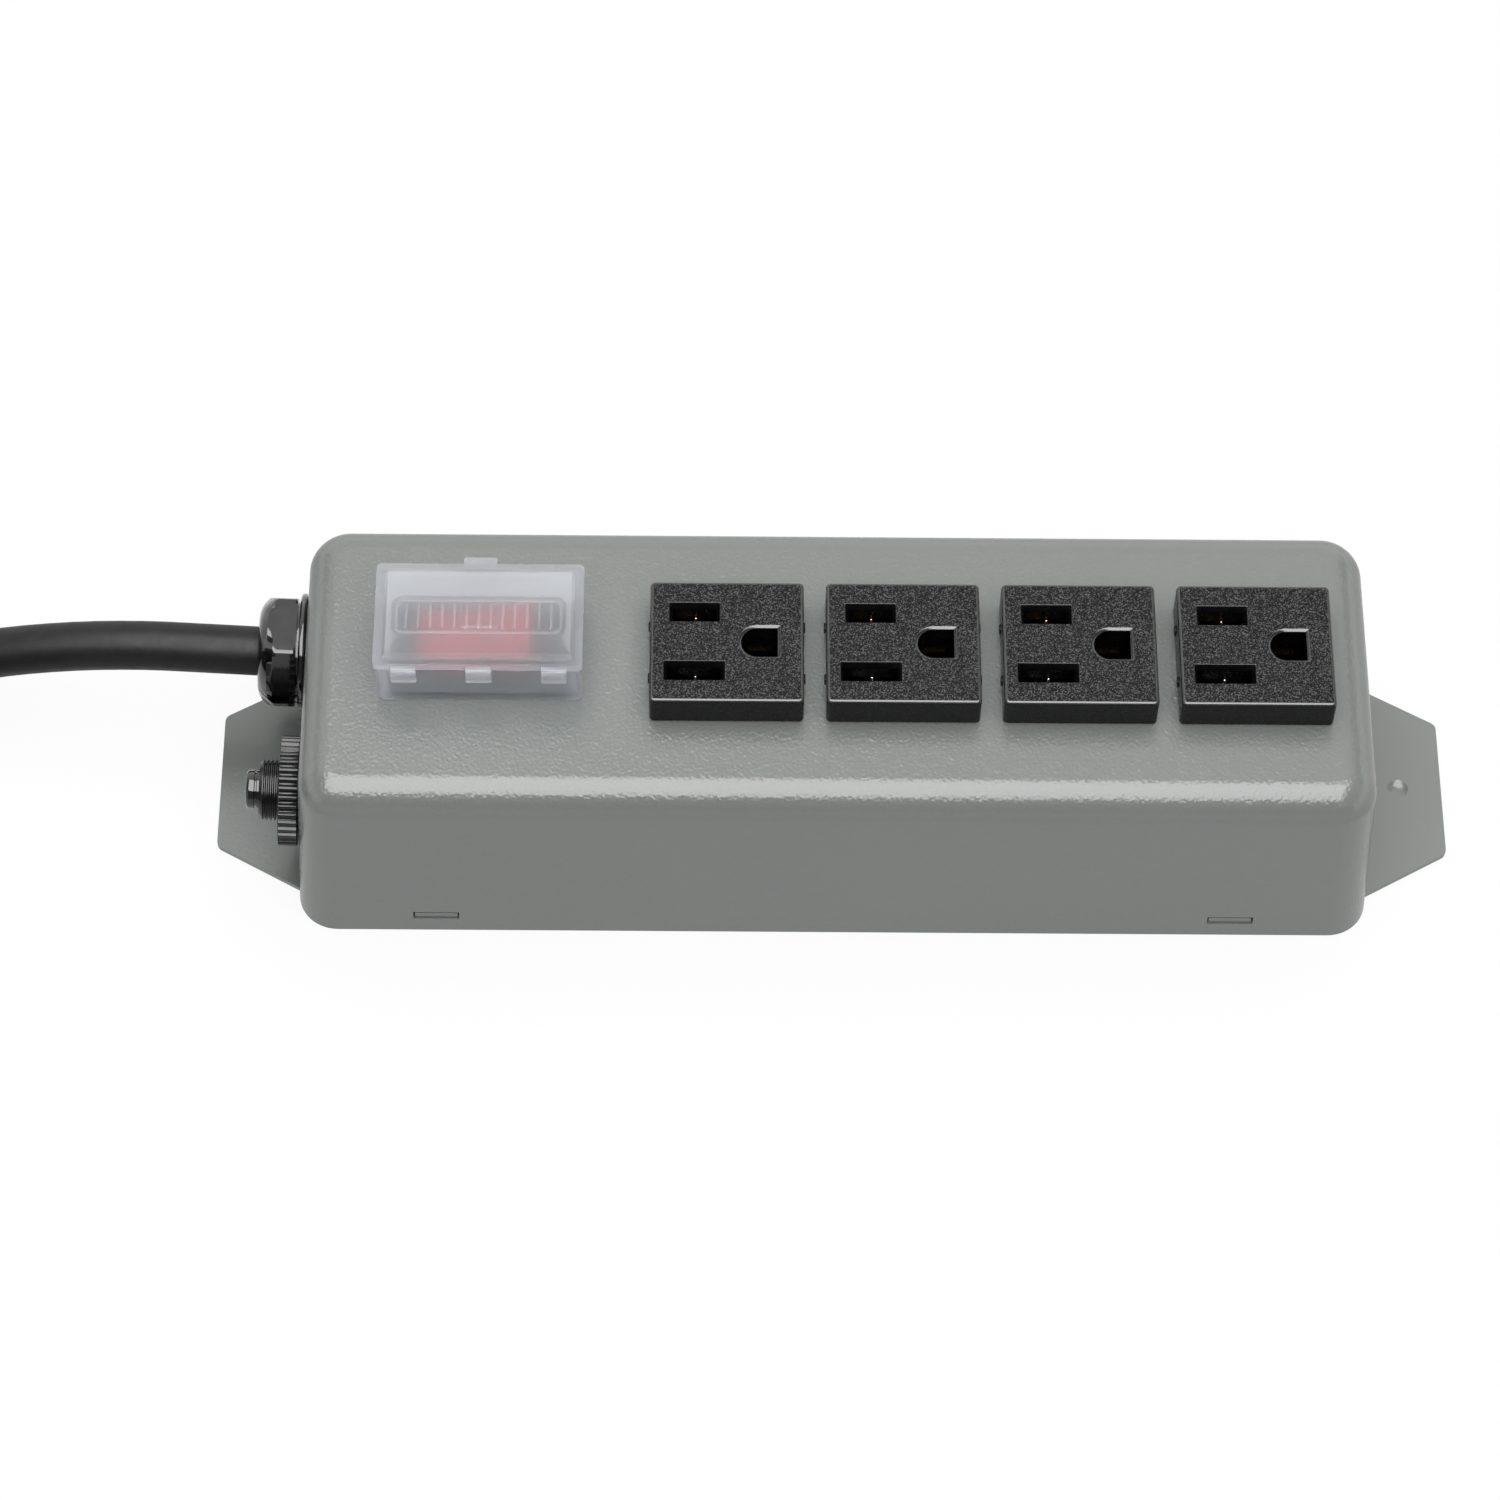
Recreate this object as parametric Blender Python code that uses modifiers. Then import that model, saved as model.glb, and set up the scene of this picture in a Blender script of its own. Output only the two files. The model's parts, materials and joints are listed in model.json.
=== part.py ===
"""Four-outlet metal power strip: folded steel box, covered rocker switch, reset button, mains lead.

Frame: X runs along the strip, Y to the back, Z up. The origin is under the middle of the box, on the
surface that the strip stands on. The lead leaves the left end and is folded into a tied hank in line with
the strip, with its plug lying on top.
"""
import math

import bmesh
import bpy
from mathutils import Matrix, Vector

MM = 0.001
GAP = 0.3 * MM                    # clearance between pieces that touch

# Box
BOX_LENGTH = 201.5 * MM           # along X, at the bottom edge
BOX_DEPTH = 63.5 * MM             # along Y, at the bottom edge
BOX_HEIGHT = 44.8 * MM
BOX_SHEET = 1.2 * MM
BOX_UPRIGHT_EDGE = 7.5 * MM       # radius of the upright edges
BOX_TOP_EDGE = 6.0 * MM           # radius of the edges round the top
END_DRAFT = math.radians(3.2)     # lean of the two end walls
SIDE_DRAFT = math.radians(1.5)    # lean of the front and back walls

# Base plate and its two mounting flanges
PLATE_SHEET = 1.2 * MM
PLATE_LENGTH = 197.8 * MM
PLATE_DEPTH = 60.4 * MM
FLANGE_REACH = 116.95 * MM        # from the middle of the strip to a flange tip
FLANGE_TIP_HALF = 14.35 * MM
FLANGE_ROOT_HALF = 24.6 * MM
FLANGE_MARK_X = 108.65 * MM       # pressed mark in each flange
TAB_X = 74.5 * MM                 # plate tabs that lock into the front and back walls
TAB_WIDTH = 8.0 * MM
TAB_LOW = 4.2 * MM
TAB_HIGH = 5.6 * MM
SLOT_WIDTH = 8.6 * MM
SLOT_LOW = 3.9 * MM
SLOT_HIGH = 6.3 * MM

# Outlets
OUTLETS = 4
OUTLET_FIRST_X = -20.4 * MM
OUTLET_PITCH = 32.3 * MM
OUTLET_WIDTH = 28.2 * MM
OUTLET_DEPTH = 26.0 * MM
OUTLET_TOP = 51.8 * MM
OUTLET_BODY_WIDTH = 26.4 * MM
OUTLET_BODY_DEPTH = 24.4 * MM
OUTLET_BODY_LOW = 21.3 * MM
BLADE_SPACING = 12.7 * MM         # between the two blade slots
GROUND_OFFSET = 11.9 * MM         # from the blade line to the round side of the earth hole
HOT_SLOT = 8.0 * MM
NEUTRAL_SLOT = 9.9 * MM
SLOT_THICK = 2.8 * MM
SLOT_FLARE = 1.4 * MM             # how much wider the mouth of a slot is
FLARE_DEPTH = 1.3 * MM
EARTH_LONG = 6.6 * MM
EARTH_WIDE = 6.0 * MM
CHAMBER_TOP = 47.6 * MM           # the contact clips stand below this height

# Contacts
BAR_LOW = 20.0 * MM
BAR_THICK = 1.0 * MM
BAR_START = -36.5 * MM
BAR_END = 90.0 * MM
LEAF_THICK = 0.8 * MM
BLADE_LEAF_TOP = 47.2 * MM
EARTH_LEAF_TOP = 40.5 * MM

# Rocker switch
SWITCH_X = -65.6 * MM
SWITCH_Y = 1.9 * MM
SWITCH_LENGTH = 27.6 * MM
SWITCH_WIDTH = 12.8 * MM
SWITCH_LOW = 24.0 * MM
BEZEL_LENGTH = 33.0 * MM
BEZEL_WIDTH = 17.2 * MM
BEZEL_LOW = 46.4 * MM
BEZEL_TOP = 48.8 * MM
ROCKER_LENGTH = 21.0 * MM
ROCKER_WIDTH = 11.0 * MM
ROCKER_PIVOT_Z = 45.5 * MM
ROCKER_TILT = math.radians(10.0)

# Switch cover
FRAME_LENGTH = 37.4 * MM
FRAME_DEPTH = 21.6 * MM
FRAME_LOW = BOX_HEIGHT + GAP
FRAME_TOP = 55.3 * MM
FRAME_WALL = 1.2 * MM
FRAME_FLOOR = 1.0 * MM
LID_LENGTH = 38.0 * MM
LID_DEPTH = 22.2 * MM
LID_LOW = FRAME_TOP + GAP
LID_RIM_TOP = 57.2 * MM
LID_TOP = 58.0 * MM
KNUCKLE_WIDTH = 4.75 * MM
KNUCKLE_PITCH = 13.65 * MM
KNUCKLE_REACH = 0.9 * MM
HINGE_Y = SWITCH_Y - LID_DEPTH / 2 - 1.2 * MM
HINGE_Z = FRAME_TOP + GAP / 2
LATCH_WIDTH = 6.2 * MM

# Fittings in the left end wall: their axes stand square to the leaning wall
FITTING_Z = 22.25 * MM
GLAND_Y = 15.7 * MM
BREAKER_Y = -14.85 * MM
GLAND_RADIUS = 11.8 * MM          # over the corners of its six sides
GLAND_FLAT = 10.2 * MM            # from the axis to a flat
COLLAR_RADIUS = 11.3 * MM         # of the thin round collar against the wall
GLAND_COLLAR = 1.9 * MM           # round collar against the wall
GLAND_REACH = 9.4 * MM
GLAND_NECK = 8.0 * MM
NUT_RADIUS = 10.25 * MM
NUT_REACH = 3.9 * MM
NUT_RIBS = 36
BUSH_RADIUS = 5.7 * MM
BUSH_REACH = 7.65 * MM
BUTTON_RADIUS = 3.7 * MM
BUTTON_REACH = 10.15 * MM

# Mains lead
CORD_RADIUS = 4.7 * MM
CORD_SPACING = 9.6 * MM           # between neighbouring turns
HANK_X = -207.0 * MM              # centre of the fold next to the strip
HANK_Y = -18.6 * MM
HANK_RUN = 106.0 * MM             # between the centres of the two folds
FOLD_RADIUS = 33.3 * MM           # to the middle of the bundle, two turns wide and two high
HANK_LIFT = 1.2 * MM              # the tie runs under the turns
HANK_Z = HANK_LIFT + CORD_RADIUS + CORD_SPACING / 2
BUNDLE_HALF = CORD_SPACING / 2 + CORD_RADIUS + 0.05 * MM
LAST_TURN_Z = HANK_Z + 13.1 * MM  # where the last turn lies on top of the bundle
TIE_X = HANK_X - HANK_RUN + 12 * MM
TIE_THICK = 0.9 * MM
TIE_WIDTH = 9.0 * MM
PLUG_HEIGHT = 24.4 * MM
PLUG_Z = HANK_Z + BUNDLE_HALF + 0.35 * MM + PLUG_HEIGHT / 2
PLUG_Y = HANK_Y + FOLD_RADIUS
PLUG_START_X = HANK_X - 3 * MM
PLUG_BACK_X = PLUG_START_X - 24 * MM
PLUG_FACE_X = PLUG_BACK_X - 28 * MM
PLUG_WIDTH = 26.0 * MM
BLADE_LENGTH = 16.0 * MM
PIN_LENGTH = 21.0 * MM

WIRE_RADIUS = 1.4 * MM

END_AXIS = Vector((-math.cos(END_DRAFT), 0.0, math.sin(END_DRAFT)))


# ---------------------------------------------------------------- scene and finishes

def clear_scene():
    for item in list(bpy.data.objects):
        bpy.data.objects.remove(item, do_unlink=True)


def new_collection(name):
    collection = bpy.data.collections.new(name)
    bpy.context.scene.collection.children.link(collection)
    return collection


def finish(name, colour, roughness, metallic=0.0):
    material = bpy.data.materials.new(name)
    material.use_nodes = True
    shader = material.node_tree.nodes["Principled BSDF"]
    shader.inputs["Base Color"].default_value = (*colour, 1.0)
    shader.inputs["Roughness"].default_value = roughness
    shader.inputs["Metallic"].default_value = metallic
    return material


clear_scene()
PARTS = new_collection("power_strip")
CUTTERS = new_collection("cutters")

GREY_PAINT = finish("grey_paint", (0.235, 0.247, 0.235), 0.42)
BLACK_PLASTIC = finish("black_plastic", (0.012, 0.012, 0.013), 0.5)
BLACK_GLOSS = finish("black_gloss", (0.006, 0.006, 0.007), 0.18)
BLACK_JACKET = finish("black_jacket", (0.014, 0.014, 0.015), 0.45)
RED_ROCKER = finish("red_rocker", (0.62, 0.02, 0.03), 0.25)
CLEAR_COVER = finish("clear_cover", (0.78, 0.78, 0.82), 0.3)
BRASS = finish("brass", (0.70, 0.48, 0.18), 0.3, 1.0)
STEEL = finish("steel", (0.55, 0.55, 0.56), 0.35, 1.0)
INSULATION = finish("insulation", (0.30, 0.27, 0.22), 0.8)
WIRE_BLACK = finish("wire_black", (0.015, 0.015, 0.015), 0.5)
WIRE_WHITE = finish("wire_white", (0.75, 0.75, 0.72), 0.5)
WIRE_GREEN = finish("wire_green", (0.02, 0.22, 0.07), 0.5)


# ---------------------------------------------------------------- modelling helpers

def object_from(bm, name):
    mesh = bpy.data.meshes.new(name)
    bm.to_mesh(mesh)
    bm.free()
    item = bpy.data.objects.new(name, mesh)
    CUTTERS.objects.link(item)
    return item


def upright(edge):
    start, end = edge.verts
    run = end.co - start.co
    return abs(run.z) > 0.99 * run.length


def block(name, low, high, rounding=0.0, segments=3, chosen=None):
    """A box from its lowest to its highest corner, with the chosen edges rounded."""
    low = Vector(low)
    high = Vector(high)
    bm = bmesh.new()
    place = Matrix.Translation((low + high) / 2) @ Matrix.Diagonal((*(high - low), 1.0))
    bmesh.ops.create_cube(bm, size=1.0, matrix=place)
    if rounding:
        edges = [edge for edge in bm.edges if chosen is None or chosen(edge)]
        bmesh.ops.bevel(bm, geom=edges, offset=rounding, segments=segments, profile=0.5, affect="EDGES")
    return object_from(bm, name)


def rod(name, start, end, radius, end_radius=None, sides=24):
    """A round bar or cone between two points."""
    start = Vector(start)
    end = Vector(end)
    turn = (end - start).to_track_quat("Z", "Y").to_matrix().to_4x4()
    place = Matrix.Translation((start + end) / 2) @ turn
    bm = bmesh.new()
    bmesh.ops.create_cone(bm, cap_ends=True, segments=sides, radius1=radius,
                          radius2=radius if end_radius is None else end_radius,
                          depth=(end - start).length, matrix=place)
    return object_from(bm, name)


def axis_place(origin, direction):
    """Matrix that puts local Z along the direction, from the origin."""
    turn = Vector(direction).to_track_quat("Z", "Y").to_matrix().to_4x4()
    return Matrix.Translation(origin) @ turn


def turned(name, profile, origin, direction, steps=32, closed=True):
    """A profile of (radius, height) points turned about an axis; its outer side runs downwards."""
    bm = bmesh.new()
    verts = [bm.verts.new((radius, 0.0, height)) for radius, height in profile]
    for first, second in zip(verts, verts[1:]):
        bm.edges.new((first, second))
    if closed:
        bm.edges.new((verts[-1], verts[0]))
    item = object_from(bm, name)
    screw = item.modifiers.new("Screw", "SCREW")
    screw.steps = steps
    screw.render_steps = steps
    screw.use_merge_vertices = True
    screw.merge_threshold = 0.00001
    item.matrix_world = axis_place(origin, direction)
    return item


def flat_outline(name, loops, thickness, place):
    """A flat sheet from one outline, or an outline and its holes, centred on the local XY plane."""
    curve = bpy.data.curves.new(name, "CURVE")
    curve.dimensions = "2D"
    curve.fill_mode = "BOTH"
    curve.extrude = thickness / 2
    for loop in loops:
        spline = curve.splines.new("POLY")
        spline.points.add(len(loop) - 1)
        for point, (x, y) in zip(spline.points, loop):
            point.co = (x, y, 0.0, 1.0)
        spline.use_cyclic_u = True
    return mesh_of_curve(name, curve, place)


def mesh_of_curve(name, curve, place):
    """The curve as a closed mesh, with its caps welded on."""
    guide = bpy.data.objects.new(name + "_guide", curve)
    CUTTERS.objects.link(guide)
    guide.matrix_world = place
    depsgraph = bpy.context.evaluated_depsgraph_get()
    mesh = bpy.data.meshes.new_from_object(guide.evaluated_get(depsgraph))
    bpy.data.objects.remove(guide, do_unlink=True)
    bm = bmesh.new()
    bm.from_mesh(mesh)
    bmesh.ops.remove_doubles(bm, verts=bm.verts, dist=0.000005)
    bmesh.ops.recalc_face_normals(bm, faces=bm.faces)
    item = object_from(bm, name)
    item.matrix_world = place
    return item


def tube(name, points, radius, resolution=2):
    """A round tube along points, with flat ends."""
    curve = bpy.data.curves.new(name, "CURVE")
    curve.dimensions = "3D"
    curve.bevel_depth = radius
    curve.bevel_resolution = resolution
    curve.use_fill_caps = True
    spline = curve.splines.new("POLY")
    spline.points.add(len(points) - 1)
    for point, position in zip(spline.points, points):
        point.co = (*position, 1.0)
    return mesh_of_curve(name, curve, Matrix.Identity(4))


def smooth_route(route, spacing):
    """Evenly spaced points on the smooth curve through the route's own points."""
    route = [Vector(point) for point in route]
    knots = [2 * route[0] - route[1]] + route + [2 * route[-1] - route[-2]]
    fine = []
    for before, start, end, after in zip(knots, knots[1:], knots[2:], knots[3:]):
        for step in range(20):
            t = step / 20
            leave = (end - before) / 2
            arrive = (after - start) / 2
            fine.append((2 * t**3 - 3 * t**2 + 1) * start + (t**3 - 2 * t**2 + t) * leave
                        + (3 * t**2 - 2 * t**3) * end + (t**3 - t**2) * arrive)
    fine.append(route[-1])
    length = sum((b - a).length for a, b in zip(fine, fine[1:]))
    count = max(2, round(length / spacing))
    points = [fine[0]]
    walked = 0.0
    for a, b in zip(fine, fine[1:]):
        walked += (b - a).length
        if walked >= length * len(points) / count and len(points) < count:
            points.append(b)
    points.append(fine[-1])
    return points


def bake(item):
    """Replace the object's mesh with its evaluated one, in world coordinates."""
    bpy.context.view_layer.update()
    depsgraph = bpy.context.evaluated_depsgraph_get()
    mesh = bpy.data.meshes.new_from_object(item.evaluated_get(depsgraph))
    mesh.transform(item.matrix_world)
    item.modifiers.clear()
    item.data = mesh
    item.matrix_world = Matrix.Identity(4)


def combine(base, others, operation):
    for other in others:
        boolean = base.modifiers.new(other.name, "BOOLEAN")
        boolean.operation = operation
        boolean.solver = "EXACT"
        boolean.object = other
        other.hide_render = True
        other.display_type = "WIRE"
    bake(base)
    for other in others:
        bpy.data.objects.remove(other, do_unlink=True)
    return base


def cut(base, cutters):
    return combine(base, cutters, "DIFFERENCE")


def join(base, additions):
    return combine(base, additions, "UNION")


def keep(item, material, origin=None, sharp=30.0):
    """Make the object one of the strip's parts, with its origin at the given point."""
    bake(item)
    CUTTERS.objects.unlink(item)
    PARTS.objects.link(item)
    item.data.name = item.name
    item.data.materials.clear()
    item.data.materials.append(material)
    item.data.shade_smooth()
    item.data.set_sharp_from_angle(angle=math.radians(sharp))
    if origin is not None:
        item.data.transform(Matrix.Translation(-Vector(origin)))
        item.location = origin
    return item


def end_point(y, reach):
    """A point on the axis of an end-wall fitting, so far outside the wall's outer face."""
    wall_x = -(BOX_LENGTH / 2 - FITTING_Z * math.tan(END_DRAFT))
    return Vector((wall_x, y, FITTING_Z)) + END_AXIS * reach


def outlet_x(index):
    return OUTLET_FIRST_X + index * OUTLET_PITCH


# ---------------------------------------------------------------- box and base plate

def make_housing():
    """Drawn steel box, open below, with all its cut-outs."""
    bm = bmesh.new()
    size = Matrix.Diagonal((BOX_LENGTH, BOX_DEPTH, BOX_HEIGHT, 1.0))
    bmesh.ops.create_cube(bm, size=1.0, matrix=Matrix.Translation((0, 0, BOX_HEIGHT / 2)) @ size)
    for vert in bm.verts:
        if vert.co.z > BOX_HEIGHT / 2:
            vert.co.x -= math.copysign(BOX_HEIGHT * math.tan(END_DRAFT), vert.co.x)
            vert.co.y -= math.copysign(BOX_HEIGHT * math.tan(SIDE_DRAFT), vert.co.y)
    floor = [face for face in bm.faces if face.calc_center_median().z < 1 * MM]
    bmesh.ops.delete(bm, geom=floor, context="FACES_ONLY")
    edges = [edge for edge in bm.edges if abs(edge.verts[0].co.z - edge.verts[1].co.z) > 1 * MM]
    bmesh.ops.bevel(bm, geom=edges, offset=BOX_UPRIGHT_EDGE, segments=6, profile=0.5, affect="EDGES")
    edges = [edge for edge in bm.edges if min(vert.co.z for vert in edge.verts) > BOX_HEIGHT - 0.01 * MM]
    bmesh.ops.bevel(bm, geom=edges, offset=BOX_TOP_EDGE, segments=6, profile=0.5, affect="EDGES")
    housing = object_from(bm, "housing")
    shell = housing.modifiers.new("Sheet", "SOLIDIFY")
    shell.thickness = BOX_SHEET
    shell.offset = -1.0
    shell.use_even_offset = True
    bake(housing)
    for vert in housing.data.vertices:
        if vert.co.z < BOX_SHEET:
            vert.co.z = 0.0

    cutters = []
    half_x = OUTLET_BODY_WIDTH / 2 + GAP
    half_y = OUTLET_BODY_DEPTH / 2 + GAP
    for index in range(OUTLETS):
        x = outlet_x(index)
        cutters.append(block(f"outlet_cut_{index}", (x - half_x, -half_y, BOX_HEIGHT - 3 * MM),
                             (x + half_x, half_y, BOX_HEIGHT + 3 * MM)))
    half_x = SWITCH_LENGTH / 2 + GAP
    half_y = SWITCH_WIDTH / 2 + GAP
    cutters.append(block("switch_cut", (SWITCH_X - half_x, SWITCH_Y - half_y, BOX_HEIGHT - 3 * MM),
                         (SWITCH_X + half_x, SWITCH_Y + half_y, BOX_HEIGHT + 3 * MM)))
    for name, y, radius in (("gland_cut", GLAND_Y, GLAND_NECK), ("breaker_cut", BREAKER_Y, BUSH_RADIUS)):
        cutters.append(rod(name, end_point(y, -4 * MM), end_point(y, 3 * MM), radius + GAP, sides=32))
    for side in (-1, 1):
        for front in (-1, 1):
            middle_y = front * (BOX_DEPTH / 2 - BOX_SHEET / 2)
            cutters.append(block(f"tab_cut_{side}_{front}",
                                 (side * TAB_X - SLOT_WIDTH / 2, middle_y - 2 * MM, SLOT_LOW),
                                 (side * TAB_X + SLOT_WIDTH / 2, middle_y + 2 * MM, SLOT_HIGH)))
        middle_x = side * (BOX_LENGTH / 2 - BOX_SHEET / 2)
        cutters.append(block(f"flange_cut_{side}", (middle_x - 2 * MM, -FLANGE_ROOT_HALF - GAP, -1 * MM),
                             (middle_x + 2 * MM, FLANGE_ROOT_HALF + GAP, PLATE_SHEET + GAP)))
    cut(housing, cutters)
    keep(housing, GREY_PAINT)


def make_base_plate():
    """Steel plate that closes the box, with a mounting flange at each end and four locking tabs."""
    corner = ((FLANGE_REACH, FLANGE_TIP_HALF),
              (PLATE_LENGTH / 2, FLANGE_ROOT_HALF),
              (PLATE_LENGTH / 2 - 6.4 * MM, PLATE_DEPTH / 2))
    outline = [(x, y) for x, y in corner]
    outline += [(-x, y) for x, y in reversed(corner)]
    outline += [(-x, -y) for x, y in corner]
    outline += [(x, -y) for x, y in reversed(corner)]
    plate = flat_outline("base_plate", [outline], PLATE_SHEET, Matrix.Translation((0, 0, PLATE_SHEET / 2)))
    bake(plate)
    bm = bmesh.new()
    bm.from_mesh(plate.data)
    edges = [edge for edge in bm.edges if upright(edge)]
    bmesh.ops.bevel(bm, geom=edges, offset=0.9 * MM, segments=2, profile=0.5, affect="EDGES")
    bm.to_mesh(plate.data)
    bm.free()

    tabs = []
    marks = []
    for side in (-1, 1):
        left = side * TAB_X - TAB_WIDTH / 2
        right = side * TAB_X + TAB_WIDTH / 2
        for front in (-1, 1):
            edge_y = front * PLATE_DEPTH / 2
            inner_y = edge_y - front * PLATE_SHEET
            nose_y = edge_y + front * 1.1 * MM
            low_y, high_y = sorted((edge_y, inner_y))
            tabs.append(block(f"tab_{side}_{front}", (left, low_y, PLATE_SHEET / 2),
                (right, high_y, TAB_HIGH)))
            low_y, high_y = sorted((inner_y, nose_y))
            tabs.append(block(f"nose_{side}_{front}", (left, low_y, TAB_LOW),
                (right, high_y, TAB_HIGH - 0.05 * MM)))
        bm = bmesh.new()
        ball = 4.2 * MM
        place = Matrix.Translation((side * FLANGE_MARK_X, 0, PLATE_SHEET + ball - 0.5 * MM))
        bmesh.ops.create_uvsphere(bm, u_segments=24, v_segments=24, radius=ball, matrix=place)
        marks.append(object_from(bm, f"mark_{side}"))
    join(plate, tabs)
    cut(plate, marks)
    keep(plate, GREY_PAINT)


# ---------------------------------------------------------------- outlets and contacts

def flared_hole(name, length, width, round_left=0.0):
    """Cutter for one contact hole: a flared mouth above a straight throat, in the outlet's own frame."""
    pieces = []
    throat_low = CHAMBER_TOP - 0.5 * MM
    mouth_low = OUTLET_TOP - FLARE_DEPTH
    for part, low, high in (("throat", throat_low, mouth_low + 0.3 * MM),
                            ("mouth", mouth_low, OUTLET_TOP + 0.2 * MM)):
        bm = bmesh.new()
        place = Matrix.Translation((0, 0, (low + high) / 2)) @ Matrix.Diagonal((length, width, high - low,
            1.0))
        bmesh.ops.create_cube(bm, size=1.0, matrix=place)
        if round_left:
            edges = [edge for edge in bm.edges if upright(edge) and edge.verts[0].co.x < 0]
            bmesh.ops.bevel(bm, geom=edges, offset=round_left, segments=5, profile=0.5, affect="EDGES")
        if part == "mouth":
            for vert in bm.verts:
                if vert.co.z > OUTLET_TOP:
                    vert.co.x *= (length + SLOT_FLARE) / length
                    vert.co.y *= (width + SLOT_FLARE) / width
        pieces.append(object_from(bm, f"{name}_{part}"))
    return pieces


def make_outlets():
    """Four snap-in outlets: a face above the box and a body with open contact chambers below it."""
    half_x = OUTLET_WIDTH / 2
    half_y = OUTLET_DEPTH / 2
    face = block("outlet", (-half_x, -half_y, BOX_HEIGHT + GAP), (half_x, half_y, OUTLET_TOP),
                 rounding=0.45 * MM, segments=2)
    half_x = OUTLET_BODY_WIDTH / 2
    half_y = OUTLET_BODY_DEPTH / 2
    body = block("outlet_body", (-half_x, -half_y, OUTLET_BODY_LOW), (half_x, half_y, BOX_HEIGHT + 2 * MM))
    join(face, [body])

    blade_x = -GROUND_OFFSET / 2
    earth_x = GROUND_OFFSET / 2
    holes = []
    for name, x, y, length, width, rounding in (
            ("hot", blade_x, BLADE_SPACING / 2, HOT_SLOT, SLOT_THICK, 0.0),
            ("neutral", blade_x, -BLADE_SPACING / 2, NEUTRAL_SLOT, SLOT_THICK, 0.0),
            ("earth", earth_x, 0.0, EARTH_LONG, EARTH_WIDE, 0.47 * EARTH_WIDE)):
        for piece in flared_hole(name, length, width, rounding):
            piece.data.transform(Matrix.Translation((x, y, 0)))
            holes.append(piece)
    for name, x, y, half_x, half_y in (("hot", blade_x, BLADE_SPACING / 2, 5.6 * MM, 3.0 * MM),
                                       ("neutral", blade_x, -BLADE_SPACING / 2, 5.6 * MM, 3.0 * MM),
                                       ("earth", earth_x, 0.0, 4.3 * MM, 4.3 * MM)):
        holes.append(block(f"{name}_chamber", (x - half_x, y - half_y, OUTLET_BODY_LOW - 1 * MM),
                           (x + half_x, y + half_y, CHAMBER_TOP)))
    cut(face, holes)
    face.name = "outlet_1"
    keep(face, BLACK_PLASTIC)
    face.location.x = outlet_x(0)
    for index in range(1, OUTLETS):
        copy = bpy.data.objects.new(f"outlet_{index + 1}", face.data)
        copy.location.x = outlet_x(index)
        PARTS.objects.link(copy)


def make_contact_bar(name, y, half_width, clip_shift, clip_gap, leaf_length, leaf_top):
    """Brass bar that links the four outlets, with a pair of spring leaves under each of them."""
    bar = block(name, (BAR_START, y - half_width, BAR_LOW), (BAR_END, y + half_width, BAR_LOW + BAR_THICK))
    leaves = []
    for index in range(OUTLETS):
        x = outlet_x(index) + clip_shift
        for side in (-1, 1):
            inner = y + side * clip_gap / 2
            outer = inner + side * LEAF_THICK
            low_y, high_y = sorted((inner, outer))
            leaves.append(block(f"leaf_{index}_{side}",
                (x - leaf_length / 2, low_y, BAR_LOW + BAR_THICK / 2),
                                (x + leaf_length / 2, high_y, leaf_top)))
    join(bar, leaves)
    keep(bar, BRASS)


def make_contacts():
    blade_half = 2.5 * MM
    make_contact_bar("line_contact_bar", BLADE_SPACING / 2, blade_half, -GROUND_OFFSET / 2, 1.7 * MM,
                     6.5 * MM, BLADE_LEAF_TOP)
    make_contact_bar("neutral_contact_bar", -BLADE_SPACING / 2, blade_half, -GROUND_OFFSET / 2, 1.7 * MM,
                     6.5 * MM, BLADE_LEAF_TOP)
    make_contact_bar("ground_contact_bar", 0.0, 3.4 * MM, GROUND_OFFSET / 2, 5.2 * MM,
                     5.0 * MM, EARTH_LEAF_TOP)

    tray_top = BAR_LOW - GAP
    tray_low = tray_top - 3.0 * MM
    sheet_top = PLATE_SHEET + GAP + 0.5 * MM
    tray = block("contact_tray", (-35.8 * MM, -12 * MM, tray_low), (93 * MM, 12 * MM, tray_top))
    legs = [block(f"leg_{x}", (x * MM, -11 * MM, sheet_top + GAP),
        ((x + 5) * MM, 11 * MM, tray_low + 1 * MM))
            for x in (-35, 6, 46, 86)]
    join(tray, legs)
    keep(tray, INSULATION)
    keep(block("insulating_sheet", (-40 * MM, -24 * MM, PLATE_SHEET + GAP), (95 * MM, 24 * MM, sheet_top)),
         INSULATION)


# ---------------------------------------------------------------- rocker switch and its cover

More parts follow.
